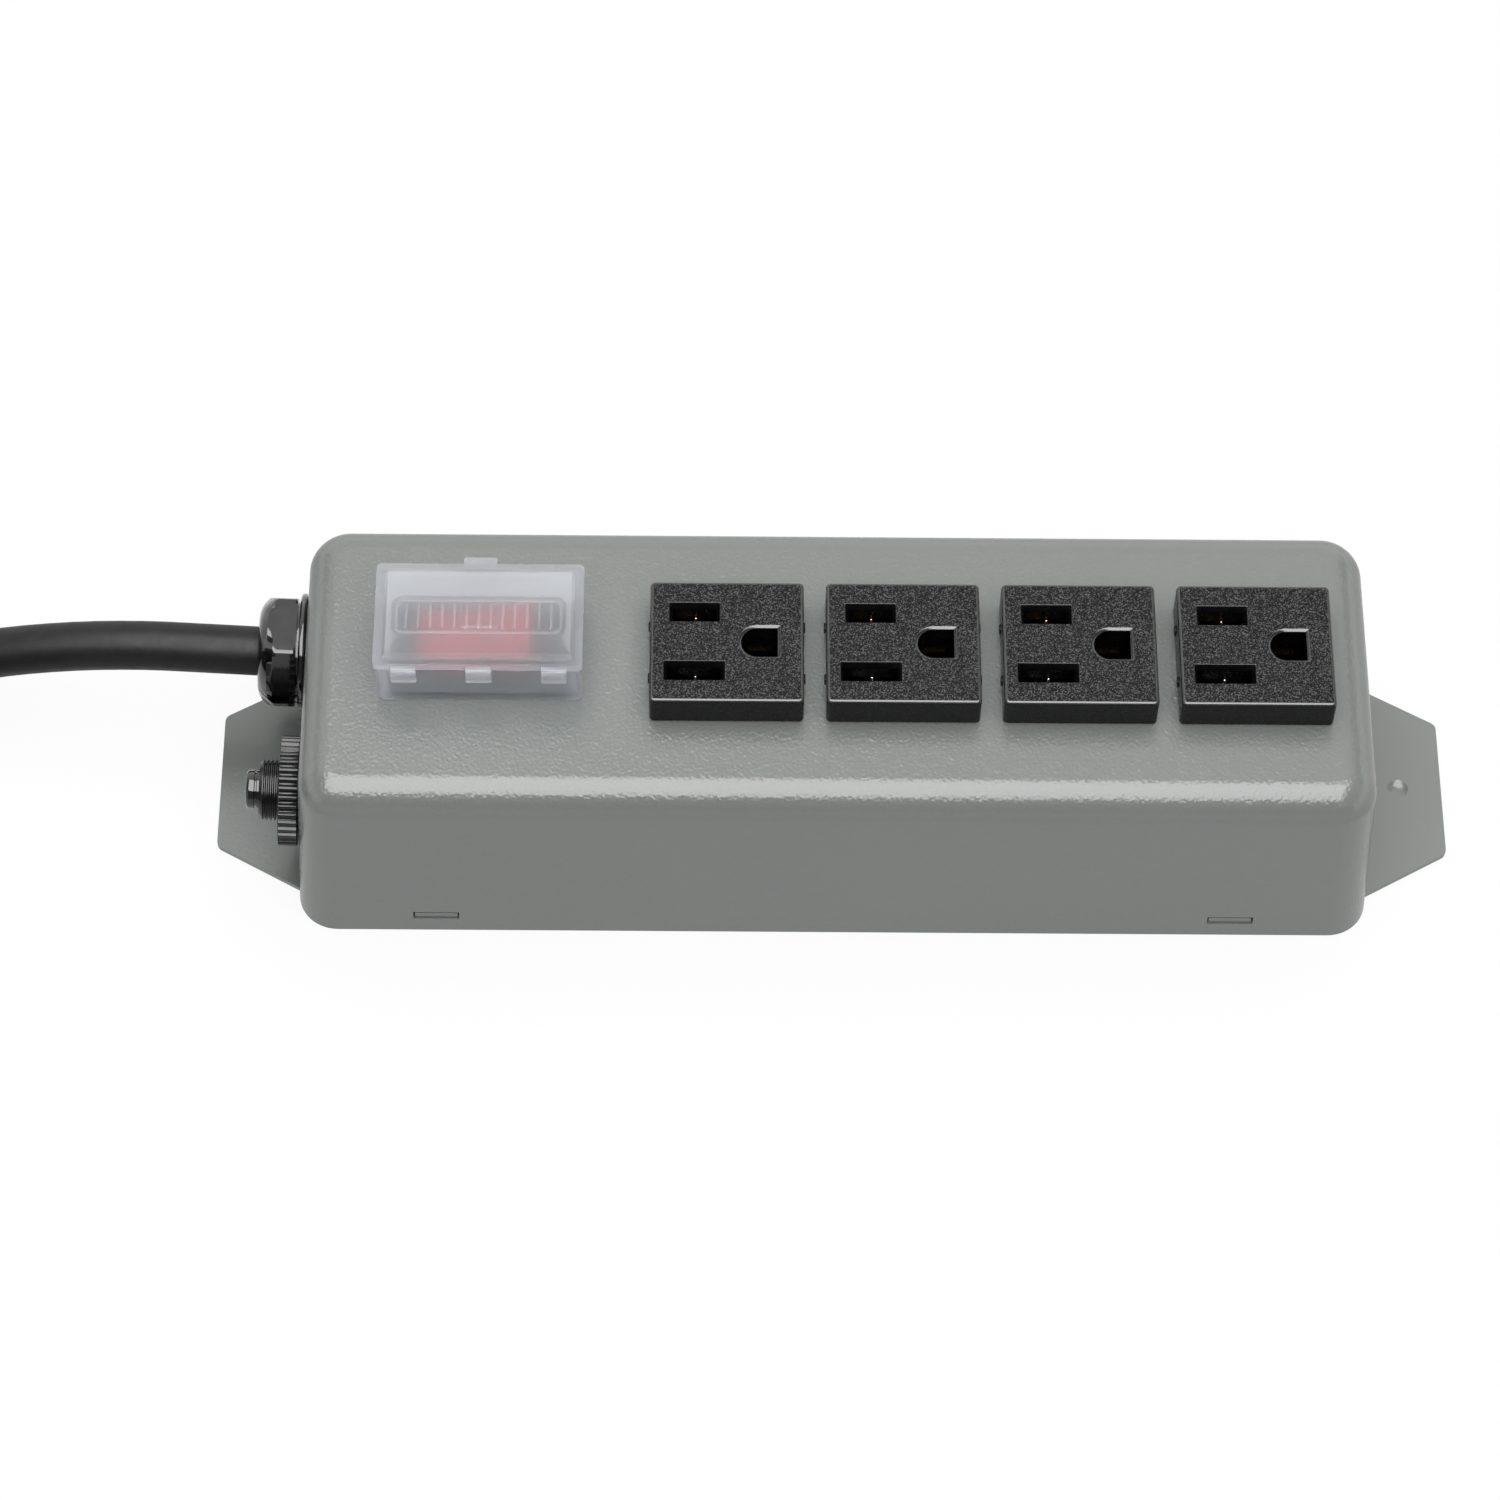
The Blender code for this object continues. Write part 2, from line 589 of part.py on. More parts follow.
def make_switch():
    half_x = BEZEL_LENGTH / 2
    half_y = BEZEL_WIDTH / 2
    body = block("switch_body", (SWITCH_X - half_x, SWITCH_Y - half_y, BEZEL_LOW),
                 (SWITCH_X + half_x, SWITCH_Y + half_y, BEZEL_TOP), rounding=0.6 * MM, segments=2)
    half_x = SWITCH_LENGTH / 2
    half_y = SWITCH_WIDTH / 2
    box = block("switch_box", (SWITCH_X - half_x, SWITCH_Y - half_y, SWITCH_LOW),
                (SWITCH_X + half_x, SWITCH_Y + half_y, BEZEL_LOW + 1 * MM))
    join(body, [box])
    half_x = ROCKER_LENGTH / 2 + 1.4 * MM
    half_y = ROCKER_WIDTH / 2 + 0.4 * MM
    pocket = block("rocker_pocket", (SWITCH_X - half_x, SWITCH_Y - half_y, 40.5 * MM),
                   (SWITCH_X + half_x, SWITCH_Y + half_y, BEZEL_TOP + 1 * MM))
    cut(body, [pocket])
    keep(body, BLACK_PLASTIC)

    half = ROCKER_LENGTH / 2
    profile = [(-half, 1 * MM), (-0.4 * half, -3.5 * MM), (0.4 * half, -3.5 * MM), (half, 1 * MM),
               (half, 6.6 * MM), (0.0, 4.6 * MM), (-half, 6.6 * MM)]
    pivot = Vector((SWITCH_X, SWITCH_Y, ROCKER_PIVOT_Z))
    stand = Matrix.Rotation(math.radians(90), 4, "X")
    tilt = Matrix.Rotation(-ROCKER_TILT, 4, "Y")
    rocker = flat_outline("switch_rocker", [profile], ROCKER_WIDTH,
        Matrix.Translation(pivot) @ tilt @ stand)
    keep(rocker, RED_ROCKER, origin=pivot)

    for name, offset in (("switch_terminal_line", 7.6 * MM), ("switch_terminal_load", -7.6 * MM)):
        x = SWITCH_X + offset
        keep(block(name, (x - 0.4 * MM, SWITCH_Y - 3.1 * MM, SWITCH_LOW - 6.5 * MM),
                   (x + 0.4 * MM, SWITCH_Y + 3.1 * MM, SWITCH_LOW - GAP)), BRASS)


def knuckles(name, low_z, high_z, back_y):
    """The three blocks that carry the film hinge, on the front of the cover frame or of the lid."""
    made = []
    for index in (-1, 0, 1):
        x = SWITCH_X + 0.2 * MM + index * KNUCKLE_PITCH
        front_y = HINGE_Y + 0.3 * MM
        made.append(block(f"{name}_{index}", (x - KNUCKLE_WIDTH / 2, front_y, low_z),
                          (x + KNUCKLE_WIDTH / 2, back_y + 0.5 * MM, high_z)))
    return made


def make_cover():
    """Moulded frame round the switch, and the lid that is hinged along its front edge."""
    half_x = FRAME_LENGTH / 2
    half_y = FRAME_DEPTH / 2
    frame = block("cover_frame", (SWITCH_X - half_x, SWITCH_Y - half_y, FRAME_LOW),
                  (SWITCH_X + half_x, SWITCH_Y + half_y, FRAME_TOP), rounding=1.2 * MM, chosen=upright)
    join(frame, knuckles("frame_knuckle", FRAME_TOP - 2.3 * MM, FRAME_TOP - 0.1 * MM, SWITCH_Y - half_y))
    inner_x = half_x - FRAME_WALL
    inner_y = half_y - FRAME_WALL
    room = block("frame_room", (SWITCH_X - inner_x, SWITCH_Y - inner_y, FRAME_LOW + FRAME_FLOOR),
                 (SWITCH_X + inner_x, SWITCH_Y + inner_y, FRAME_TOP + 2 * MM))
    hole_x = SWITCH_LENGTH / 2 + GAP
    hole_y = SWITCH_WIDTH / 2 + GAP
    hole = block("frame_hole", (SWITCH_X - hole_x, SWITCH_Y - hole_y, FRAME_LOW - 1 * MM),
                 (SWITCH_X + hole_x, SWITCH_Y + hole_y, FRAME_TOP))
    cut(frame, [room, hole])
    keep(frame, CLEAR_COVER)

    half_x = LID_LENGTH / 2
    half_y = LID_DEPTH / 2
    lid = block("cover_lid", (SWITCH_X - half_x, SWITCH_Y - half_y, LID_LOW),
                (SWITCH_X + half_x, SWITCH_Y + half_y, LID_RIM_TOP), rounding=0.5 * MM, segments=2)
    bm = bmesh.new()
    panel = Vector((LID_LENGTH - 2.6 * MM, LID_DEPTH - 2.6 * MM, LID_TOP - LID_LOW))
    place = Matrix.Translation((0, 0, (LID_LOW + LID_TOP) / 2)) @ Matrix.Diagonal((*panel, 1.0))
    bmesh.ops.create_cube(bm, size=1.0, matrix=place)
    slope = 0.9 * MM
    for vert in bm.verts:
        if vert.co.z < LID_LOW + 0.1 * MM:
            vert.co.z = LID_RIM_TOP - 0.5 * MM
        else:
            vert.co.x -= math.copysign(slope, vert.co.x)
            vert.co.y -= math.copysign(slope, vert.co.y)
    bmesh.ops.translate(bm, verts=bm.verts, vec=(SWITCH_X, SWITCH_Y, 0))
    additions = [object_from(bm, "lid_panel")]
    back_y = SWITCH_Y + half_y
    additions.append(block("latch", (SWITCH_X - LATCH_WIDTH / 2, back_y - 0.5 * MM, LID_LOW + 0.2 * MM),
                           (SWITCH_X + LATCH_WIDTH / 2, back_y + 1.6 * MM, LID_RIM_TOP - 0.1 * MM),
                           rounding=0.4 * MM, segments=2))
    additions.append(block("latch_hook",
        (SWITCH_X - LATCH_WIDTH / 2, back_y + 0.5 * MM, FRAME_TOP - 2.0 * MM),
                           (SWITCH_X + LATCH_WIDTH / 2, back_y + 1.5 * MM, LID_LOW + 1.0 * MM)))
    additions += knuckles("lid_knuckle", LID_LOW + 0.1 * MM, LID_RIM_TOP - 0.2 * MM, SWITCH_Y - half_y)
    join(lid, additions)
    room_x = half_x - 1.8 * MM
    room_y = half_y - 1.8 * MM
    room = block("lid_room", (SWITCH_X - room_x, SWITCH_Y - room_y, LID_LOW - 1 * MM),
                 (SWITCH_X + room_x, SWITCH_Y + room_y, LID_TOP - 1.1 * MM))
    cut(lid, [room])
    keep(lid, CLEAR_COVER, origin=(SWITCH_X, HINGE_Y, HINGE_Z))


# ---------------------------------------------------------------- fittings in the left end wall

def make_strain_relief():
    """Two half shells that clamp the lead in the end wall."""
    bore = CORD_RADIUS + GAP
    neck_end = -6.0 * MM
    profile = ((bore, GLAND_REACH), (GLAND_RADIUS - 2.6 * MM, GLAND_REACH),
               (GLAND_RADIUS - 0.9 * MM, GLAND_REACH - 0.8 * MM), (GLAND_RADIUS, GLAND_REACH - 2.4 * MM),
               (GLAND_RADIUS, GLAND_COLLAR), (COLLAR_RADIUS, GLAND_COLLAR), (COLLAR_RADIUS, GAP),
               (GLAND_NECK, GAP), (GLAND_NECK, neck_end), (bore, neck_end))
    place = axis_place(end_point(GLAND_Y, 0.0), END_AXIS)
    for name, side in (("strain_relief_upper", -1), ("strain_relief_lower", 1)):
        half = turned(name, profile, end_point(GLAND_Y, 0.0), END_AXIS, steps=32)
        low, high = sorted((side * 20 * MM, -side * GAP / 2))
        away = block(name + "_cut", (-20 * MM, -20 * MM, low), (20 * MM, 20 * MM, high))
        away.matrix_world = Matrix.Translation(place.translation) @ Matrix.Rotation(END_DRAFT, 4, "Y")
        cutters = [away]
        for index in range(6):
            flat = block(f"{name}_flat_{index}", (-12 * MM, GLAND_FLAT, GLAND_COLLAR),
                (12 * MM, 16 * MM, 12 * MM))
            flat.matrix_world = place @ Matrix.Rotation(math.radians(60 * index), 4, "Z")
            cutters.append(flat)
        cut(half, cutters)
        keep(half, BLACK_GLOSS)


def make_breaker():
    """Push-to-reset circuit breaker: body, threaded bush, ribbed ring nut and button."""
    face_x = end_point(BREAKER_Y, -BOX_SHEET).x
    body = block("breaker_body", (face_x + 1.2 * MM, BREAKER_Y - 7.3 * MM, 8 * MM),
                 (-66 * MM, BREAKER_Y + 7.3 * MM, 37 * MM), rounding=0.8 * MM, segments=2)
    well = rod("stem_well", end_point(BREAKER_Y, -0.5 * MM), end_point(BREAKER_Y, -12 * MM), 2.4 * MM)
    cut(body, [well])
    keep(body, BLACK_PLASTIC)

    bore = BUTTON_RADIUS + GAP
    bush = turned("breaker_bush", ((bore, BUSH_REACH), (BUSH_RADIUS - 0.5 * MM, BUSH_REACH),
                                   (BUSH_RADIUS, BUSH_REACH - 0.5 * MM), (BUSH_RADIUS, -1.5 * MM),
                                   (bore, -1.5 * MM)), end_point(BREAKER_Y, 0.0), END_AXIS)
    keep(bush, BLACK_GLOSS)

    outer = []
    for rib in range(2 * NUT_RIBS):
        angle = math.pi * rib / NUT_RIBS
        radius = NUT_RADIUS - (rib % 2) * 0.55 * MM
        outer.append((radius * math.cos(angle), radius * math.sin(angle)))
    hole_radius = BUSH_RADIUS + GAP
    hole = [(hole_radius * math.cos(math.tau * step / 32), hole_radius * math.sin(math.tau * step / 32))
            for step in range(32)]
    thickness = NUT_REACH - GAP
    nut = flat_outline("breaker_nut", [outer, hole], thickness,
                       axis_place(end_point(BREAKER_Y, GAP + thickness / 2), END_AXIS))
    keep(nut, BLACK_PLASTIC)

    origin = end_point(BREAKER_Y, BUSH_REACH)
    button = turned("reset_button", ((0.0, BUTTON_REACH), (BUTTON_RADIUS - 0.5 * MM, BUTTON_REACH),
                                     (BUTTON_RADIUS, BUTTON_REACH - 0.5 * MM), (BUTTON_RADIUS, 0.2 * MM),
                                     (2.0 * MM, 0.2 * MM), (2.0 * MM, -9 * MM), (0.0, -9 * MM)),
                    end_point(BREAKER_Y, 0.0), END_AXIS, closed=False)
    keep(button, BLACK_PLASTIC, origin=origin)

    for name, z in (("breaker_terminal_line", 14 * MM), ("breaker_terminal_load", 31 * MM)):
        keep(block(name, (-66 * MM + GAP, BREAKER_Y - 3.1 * MM, z - 0.4 * MM),
                   (-59.5 * MM, BREAKER_Y + 3.1 * MM, z + 0.4 * MM)), BRASS)


# ---------------------------------------------------------------- wiring inside the box

GROUND_POST = Vector((-46 * MM, 21 * MM, PLATE_SHEET))


def make_ground_point():
    base = GROUND_POST + Vector((0, 0, GAP))
    keep(rod("ground_stud", base, base + Vector((0, 0, 9 * MM)), 2.0 * MM, sides=16), STEEL)
    ring = turned("ground_ring_terminal", ((2.3 * MM, 1.1 * MM), (4.4 * MM, 1.1 * MM), (4.4 * MM, GAP),
                                           (2.3 * MM, GAP)), base, (0, 0, 1), steps=24)
    barrel = block("barrel", base + Vector((-9 * MM, -1.8 * MM, GAP)),
        base + Vector((-4 * MM, 1.8 * MM, 1.0 * MM)))
    join(ring, [barrel])
    keep(ring, BRASS)
    nut = rod("ground_nut", base + Vector((0, 0, 1.4 * MM)), base + Vector((0, 0, 4.6 * MM)), 4.0 * MM,
        sides=6)
    bore = rod("ground_nut_bore", base, base + Vector((0, 0, 8 * MM)), 2.3 * MM, sides=16)
    cut(nut, [bore])
    keep(nut, STEEL)


def make_wiring():
    """The lead's inner end and the six wires, each on its own smooth route."""
    inner_end = end_point(GLAND_Y, -14 * MM)
    keep(rod("cord_inner_end", inner_end, end_point(GLAND_Y, GLAND_REACH), CORD_RADIUS, sides=20),
        BLACK_JACKET)

    start = inner_end + Vector((1.2 * MM, 0, 0))
    line_terminal = Vector((-59.2 * MM, BREAKER_Y, 14 * MM))
    load_terminal = Vector((-59.2 * MM, BREAKER_Y, 31 * MM))
    switch_in = Vector((SWITCH_X + 7.6 * MM, SWITCH_Y, SWITCH_LOW - 6.8 * MM))
    switch_out = Vector((SWITCH_X - 7.6 * MM, SWITCH_Y, SWITCH_LOW - 6.8 * MM))
    bar_x = BAR_START - GAP
    bar_z = BAR_LOW + BAR_THICK / 2
    ring_end = GROUND_POST + Vector((-9.3 * MM, 0, 1.9 * MM))
    routes = {
        "line_wire_supply": (WIRE_BLACK, (
            start + Vector((0, -2.4, 0)) * MM, (-82 * MM, 8.5 * MM, 16 * MM), (-76 * MM, -1 * MM, 8.5 * MM),
            (-64 * MM, -6 * MM, 6 * MM), (-53 * MM, -10.5 * MM, 8 * MM), (-50 * MM, -14 * MM, 12 * MM),
            line_terminal + Vector((4, 0, 0)) * MM, line_terminal)),
        "line_wire_switch": (WIRE_BLACK, (
            load_terminal, load_terminal + Vector((4, 0, 0)) * MM, (-50 * MM, -12 * MM, 27 * MM),
            (-49 * MM, -4 * MM, 17 * MM), (-53 * MM, 1 * MM, 12 * MM), switch_in - Vector((0, 0, 3)) * MM,
            switch_in)),
        "line_wire_outlets": (WIRE_BLACK, (
            switch_out, switch_out - Vector((0, 0, 3)) * MM, (-70 * MM, 5.5 * MM, 12 * MM),
            (-61 * MM, 9 * MM, 11.5 * MM),
            (-49 * MM, 8.5 * MM, 14 * MM), (-42 * MM, BLADE_SPACING / 2, 19.5 * MM),
            (bar_x, BLADE_SPACING / 2, bar_z))),
        "neutral_wire": (WIRE_WHITE, (
            start + Vector((0, 1.6, 1.8)) * MM, (-79 * MM, 18.5 * MM, 25 * MM),
            (-62 * MM, 18 * MM, 30 * MM),
            (-49 * MM, 11 * MM, 33 * MM), (-44 * MM, 1 * MM, 30 * MM), (-42.5 * MM, -5 * MM, 23 * MM),
            (bar_x, -BLADE_SPACING / 2, bar_z))),
        "ground_wire": (WIRE_GREEN, (
            start + Vector((0, 1.6, -1.8)) * MM, (-79 * MM, 20 * MM, 16 * MM),
            (-70 * MM, 22.5 * MM, 7.5 * MM),
            (-62 * MM, 21.5 * MM, 3.6 * MM), ring_end)),
        "ground_wire_outlets": (WIRE_GREEN, (
            GROUND_POST + Vector((4.9, -1, 2.0)) * MM, (-39 * MM, 19 * MM, 4.8 * MM),
            (-41 * MM, 16.5 * MM, 12 * MM),
            (-44 * MM, 12 * MM, 19 * MM), (-47 * MM, 6 * MM, 23.5 * MM), (-43 * MM, 0.4 * MM, 22 * MM),
            (bar_x, 0, bar_z))),
    }
    for name, (material, route) in routes.items():
        keep(tube(name, smooth_route(route, 4 * MM), WIRE_RADIUS), material)


# ---------------------------------------------------------------- mains lead, coil and plug

def cord_route():
    """From the strain relief down to the floor, as far as the hank."""
    exit_point = end_point(GLAND_Y, GLAND_REACH + GAP)
    return [exit_point,
            (-119.5 * MM, 16.2 * MM, 22.9 * MM), (-131 * MM, 16.9 * MM, 22.6 * MM),
            (-144 * MM, 17.7 * MM, 20.9 * MM),
            (-158 * MM, 18.4 * MM, 17.6 * MM), (-170 * MM, 19.1 * MM, 12.7 * MM),
            (-178.5 * MM, 19.4 * MM, 9.2 * MM)]


def hank_place(share, offset, height):
    """A point on the hank's closed path, share of the way round it, moved outwards by offset."""
    fold = math.pi * FOLD_RADIUS
    walked = share * (2 * HANK_RUN + 2 * fold)
    for centre_x, turn in ((HANK_X, 90), (HANK_X - HANK_RUN, 270)):
        if walked < HANK_RUN:
            angle = math.radians(turn)
            along = walked if turn == 90 else -walked
            return Vector((centre_x - along, HANK_Y + (FOLD_RADIUS + offset) * math.sin(angle), height))
        walked -= HANK_RUN
        if walked < fold:
            centre_x += -HANK_RUN if turn == 90 else HANK_RUN
            angle = math.radians(turn) + walked / FOLD_RADIUS
            return Vector((centre_x + (FOLD_RADIUS + offset) * math.cos(angle),
                           HANK_Y + (FOLD_RADIUS + offset) * math.sin(angle), height))
        walked -= fold
    return hank_place(0.0, offset, height)


def make_coil():
    """One closed solid for the turns of the lead: a rounded bundle that runs round a long loop."""
    corner = 4.6 * MM
    section = []
    for turn in range(4):
        for step in range(4):
            angle = math.radians(90 * turn + 30 * step)
            middle = BUNDLE_HALF - corner
            across = middle * (1 if turn in (0, 3) else -1) + corner * math.cos(angle)
            above = middle * (1 if turn in (0, 1) else -1) + corner * math.sin(angle)
            section.append((across, above))
    fold = math.pi * FOLD_RADIUS
    whole = 2 * HANK_RUN + 2 * fold
    stops = []
    for start in (0.0, HANK_RUN + fold):
        stops += [(start + HANK_RUN + fold * step / 20) / whole for step in range(21)]
    bm = bmesh.new()
    rings = [[bm.verts.new(hank_place(min(stop, 0.999999), across, HANK_Z + above)) for across,
        above in section]
             for stop in stops]
    for first, second in zip(rings, rings[1:] + rings[:1]):
        for step in range(len(section)):
            after = (step + 1) % len(section)
            bm.faces.new((first[step], first[after], second[after], second[step]))
    bmesh.ops.recalc_face_normals(bm, faces=bm.faces)
    keep(object_from(bm, "cord_coil"), BLACK_JACKET)


def make_lead():
    keep(tube("cord", smooth_route(cord_route(), 6 * MM), CORD_RADIUS, resolution=4), BLACK_JACKET,
        sharp=50)
    make_coil()

    room = BUNDLE_HALF + GAP
    outer = room + TIE_THICK
    middle = Vector((TIE_X, HANK_Y + FOLD_RADIUS, 0))
    tie = block("cord_tie", middle + Vector((-TIE_WIDTH / 2, -outer, 0)),
                middle + Vector((TIE_WIDTH / 2, outer, HANK_Z + outer)),
                rounding=5 * MM, segments=4, chosen=along_x)
    inside = block("tie_room", middle + Vector((-TIE_WIDTH, -room, TIE_THICK)),
                   middle + Vector((TIE_WIDTH, room, HANK_Z + room)),
                   rounding=4.4 * MM, segments=4, chosen=along_x)
    cut(tie, [inside])
    keep(tie, BLACK_PLASTIC)

    climb = []
    for turn in range(-40, 91, 10):
        share = (turn + 90) / 180
        rise = share * share * (3 - 2 * share)
        angle = math.radians(turn)
        climb.append((HANK_X + FOLD_RADIUS * math.cos(angle), HANK_Y + FOLD_RADIUS * math.sin(angle),
                      LAST_TURN_Z + rise * (PLUG_Z - LAST_TURN_Z)))
    climb.append((PLUG_START_X + GAP, PLUG_Y, PLUG_Z))
    keep(tube("cord_end", smooth_route(climb, 6 * MM), CORD_RADIUS, resolution=4), BLACK_JACKET, sharp=50)
    make_plug()


def along_x(edge):
    start, end = edge.verts
    run = end.co - start.co
    return abs(run.x) > 0.99 * run.length


def make_plug():
    """Moulded three-pin plug at the end of the lead, lying on top of the hank."""
    half_y = PLUG_WIDTH / 2
    half_z = PLUG_HEIGHT / 2
    body = block("plug_body", (PLUG_FACE_X, PLUG_Y - half_y, PLUG_Z - half_z),
                 (PLUG_BACK_X, PLUG_Y + half_y, PLUG_Z + half_z), rounding=4 * MM, segments=3)
    relief = rod("plug_relief", (PLUG_START_X, PLUG_Y, PLUG_Z), (PLUG_BACK_X - 5 * MM, PLUG_Y, PLUG_Z),
                 CORD_RADIUS + 1 * MM, end_radius=8.5 * MM)
    join(body, [relief])
    keep(body, BLACK_PLASTIC)
    blade_z = PLUG_Z - GROUND_OFFSET / 2
    pin_z = PLUG_Z + GROUND_OFFSET / 2
    root_x = PLUG_FACE_X - GAP
    for name, side in (("plug_blade_line", -1), ("plug_blade_neutral", 1)):
        blade_y = PLUG_Y + side * BLADE_SPACING / 2
        keep(block(name, (root_x - BLADE_LENGTH, blade_y - 0.75 * MM, blade_z - 3.2 * MM),
                   (root_x, blade_y + 0.75 * MM, blade_z + 3.2 * MM)), BRASS)
    keep(rod("plug_ground_pin", (root_x, PLUG_Y, pin_z), (root_x - PIN_LENGTH, PLUG_Y, pin_z), 2.4 * MM,
        sides=20),
         BRASS)


make_housing()
make_base_plate()
make_outlets()
make_contacts()
make_switch()
make_cover()
make_strain_relief()
make_breaker()
make_ground_point()
make_wiring()
make_lead()
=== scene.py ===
"""Visual model of the power strip: detailed pieces, finishes, camera and light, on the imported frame."""

import json
import math

import bmesh
import bpy
from mathutils import Matrix, Vector

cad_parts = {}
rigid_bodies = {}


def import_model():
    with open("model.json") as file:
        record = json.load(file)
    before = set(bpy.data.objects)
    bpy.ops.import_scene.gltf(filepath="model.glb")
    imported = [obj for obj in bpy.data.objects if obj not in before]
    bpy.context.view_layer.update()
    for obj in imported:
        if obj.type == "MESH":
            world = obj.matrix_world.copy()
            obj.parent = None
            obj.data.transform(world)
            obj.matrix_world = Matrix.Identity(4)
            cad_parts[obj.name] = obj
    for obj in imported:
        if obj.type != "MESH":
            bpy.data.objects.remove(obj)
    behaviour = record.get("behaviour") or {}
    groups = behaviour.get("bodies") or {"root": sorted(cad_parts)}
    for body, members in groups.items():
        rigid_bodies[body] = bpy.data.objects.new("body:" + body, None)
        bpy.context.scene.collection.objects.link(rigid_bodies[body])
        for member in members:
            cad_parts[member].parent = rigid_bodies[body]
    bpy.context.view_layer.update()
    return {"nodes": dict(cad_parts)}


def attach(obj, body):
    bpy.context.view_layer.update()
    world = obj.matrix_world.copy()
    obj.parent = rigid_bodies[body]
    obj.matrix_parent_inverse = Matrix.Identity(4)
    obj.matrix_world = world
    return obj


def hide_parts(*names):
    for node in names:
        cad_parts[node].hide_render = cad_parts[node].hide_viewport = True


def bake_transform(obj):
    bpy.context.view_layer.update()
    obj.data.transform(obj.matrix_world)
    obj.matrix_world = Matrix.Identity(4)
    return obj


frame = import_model()

MM = 0.001
END_DRAFT = math.radians(3.2)
SIDE_DRAFT = math.radians(1.5)


def mm(*values):
    return Vector(values) * MM


# ---------------------------------------------------------------- sizes shared with the CAD, in millimetres

BOX = (201.5, 63.5, 44.8)
BOX_SHEET = 1.2
BOX_UPRIGHT_EDGE = 7.5
BOX_TOP_EDGE = 6.0
OUTLET_FIRST_X = -20.4
OUTLET_PITCH = 32.3
OUTLET_TOP = 51.8
BLADE_X = -5.95
BLADE_Y = 6.35
EARTH_X = 5.95
CONTACT_BAR_X = (-36.5, 90.0)
SWITCH = (-65.6, 1.9)
SWITCH_HOLE = (14.1, 6.7)
HINGE_Y = -10.4
HINGE_Z = 55.45
HINGE_MIDDLE_X = SWITCH[0] + 0.2
HINGE_PITCH = 13.65
TAB_X = 74.5
FLANGE_MARK_X = 108.65
PLATE = 1.2
GLAND_Y = 15.7
GLAND_FLAT = 10.2
BREAKER_Y = -14.85
FITTING_Z = 22.25
END_AXIS = Vector((-math.cos(END_DRAFT), 0.0, math.sin(END_DRAFT)))
CORD_RADIUS = 4.7
HANK = (-207.0, -18.6, 10.7)
HANK_RUN = 106.0
FOLD_RADIUS = 33.3
CORD_SPACING = 9.6
TIE_X = -301.0
LAST_TURN = 13.1
PLUG_Y = 14.7
PLUG_Z = 32.8
PLUG_START_X = -210.0


def end_point(y, reach):
    """A point on the axis of an end-wall fitting, so far outside the wall's outer face, in metres."""
    wall_x = -(BOX[0] / 2 - FITTING_Z * math.tan(END_DRAFT))
    return (Vector((wall_x, y, FITTING_Z)) + END_AXIS * reach) * MM


# ---------------------------------------------------------------- camera

def look(target, distance, yaw, elevation, roll, lens):
    level = math.cos(elevation)
    back = Vector((math.sin(yaw) * level, -math.cos(yaw) * level, math.sin(elevation)))
    right = Vector((math.cos(yaw), math.sin(yaw), 0.0))
    up = back.cross(right)
    across = right * math.cos(roll) + up * math.sin(roll)
    above = up * math.cos(roll) - right * math.sin(roll)
    data = bpy.data.cameras.new("camera")
    data.lens = lens
    data.sensor_width = 36.0
    data.clip_start = 0.01
    data.clip_end = 100.0
    camera = bpy.data.objects.new("camera", data)
    bpy.context.scene.collection.objects.link(camera)
    turn = Matrix((across, above, back)).transposed().to_4x4()
    camera.matrix_world = Matrix.Translation(Vector(target) + back * distance) @ turn
    bpy.context.scene.camera = camera


look(target=(-0.01585, -0.00384, 0.020), distance=0.912, yaw=math.radians(-0.87),
     elevation=math.radians(58.5), roll=math.radians(1.13), lens=116.4)
bpy.context.scene.view_settings.view_transform = "Standard"
bpy.context.scene.view_settings.look = "None"


# ---------------------------------------------------------------- finishes

def finish(name, colour, roughness, metallic=0.0, **sockets):
    made = bpy.data.materials.new(name)
    made.use_nodes = True
    shader = made.node_tree.nodes["Principled BSDF"]
    shader.inputs["Base Color"].default_value = (*colour, 1.0)
    shader.inputs["Roughness"].default_value = roughness
    shader.inputs["Metallic"].default_value = metallic
    for socket, value in sockets.items():
        shader.inputs[socket.replace("_", " ")].default_value = value
    return made


def shader_of(made):
    return made.node_tree.nodes["Principled BSDF"]


def link(made, source, target):
    made.node_tree.links.new(source, target)


def own_place(made, stretch):
    """The piece's own coordinates, stretched."""
    nodes = made.node_tree.nodes
    place = nodes.new("ShaderNodeTexCoord")
    mapping = nodes.new("ShaderNodeMapping")
    mapping.inputs["Scale"].default_value = stretch
    link(made, place.outputs["Object"], mapping.inputs["Vector"])
    return mapping.outputs["Vector"]


def grain(made, scale, detail=2.0, rough=0.5, stretch=(1.0, 1.0, 1.0)):
    """Noise in the piece's own coordinates, with its features about 1/scale metres across."""
    noise = made.node_tree.nodes.new("ShaderNodeTexNoise")
    noise.inputs["Scale"].default_value = scale
    noise.inputs["Detail"].default_value = detail
    noise.inputs["Roughness"].default_value = rough
    link(made, own_place(made, stretch), noise.inputs["Vector"])
    return noise.outputs["Fac"]


def cells(made, scale, stretch):
    """Distance from the middle of the nearest cell, with cells about 1/scale metres across."""
    voronoi = made.node_tree.nodes.new("ShaderNodeTexVoronoi")
    voronoi.inputs["Scale"].default_value = scale
    link(made, own_place(made, stretch), voronoi.inputs["Vector"])
    return voronoi.outputs["Distance"]


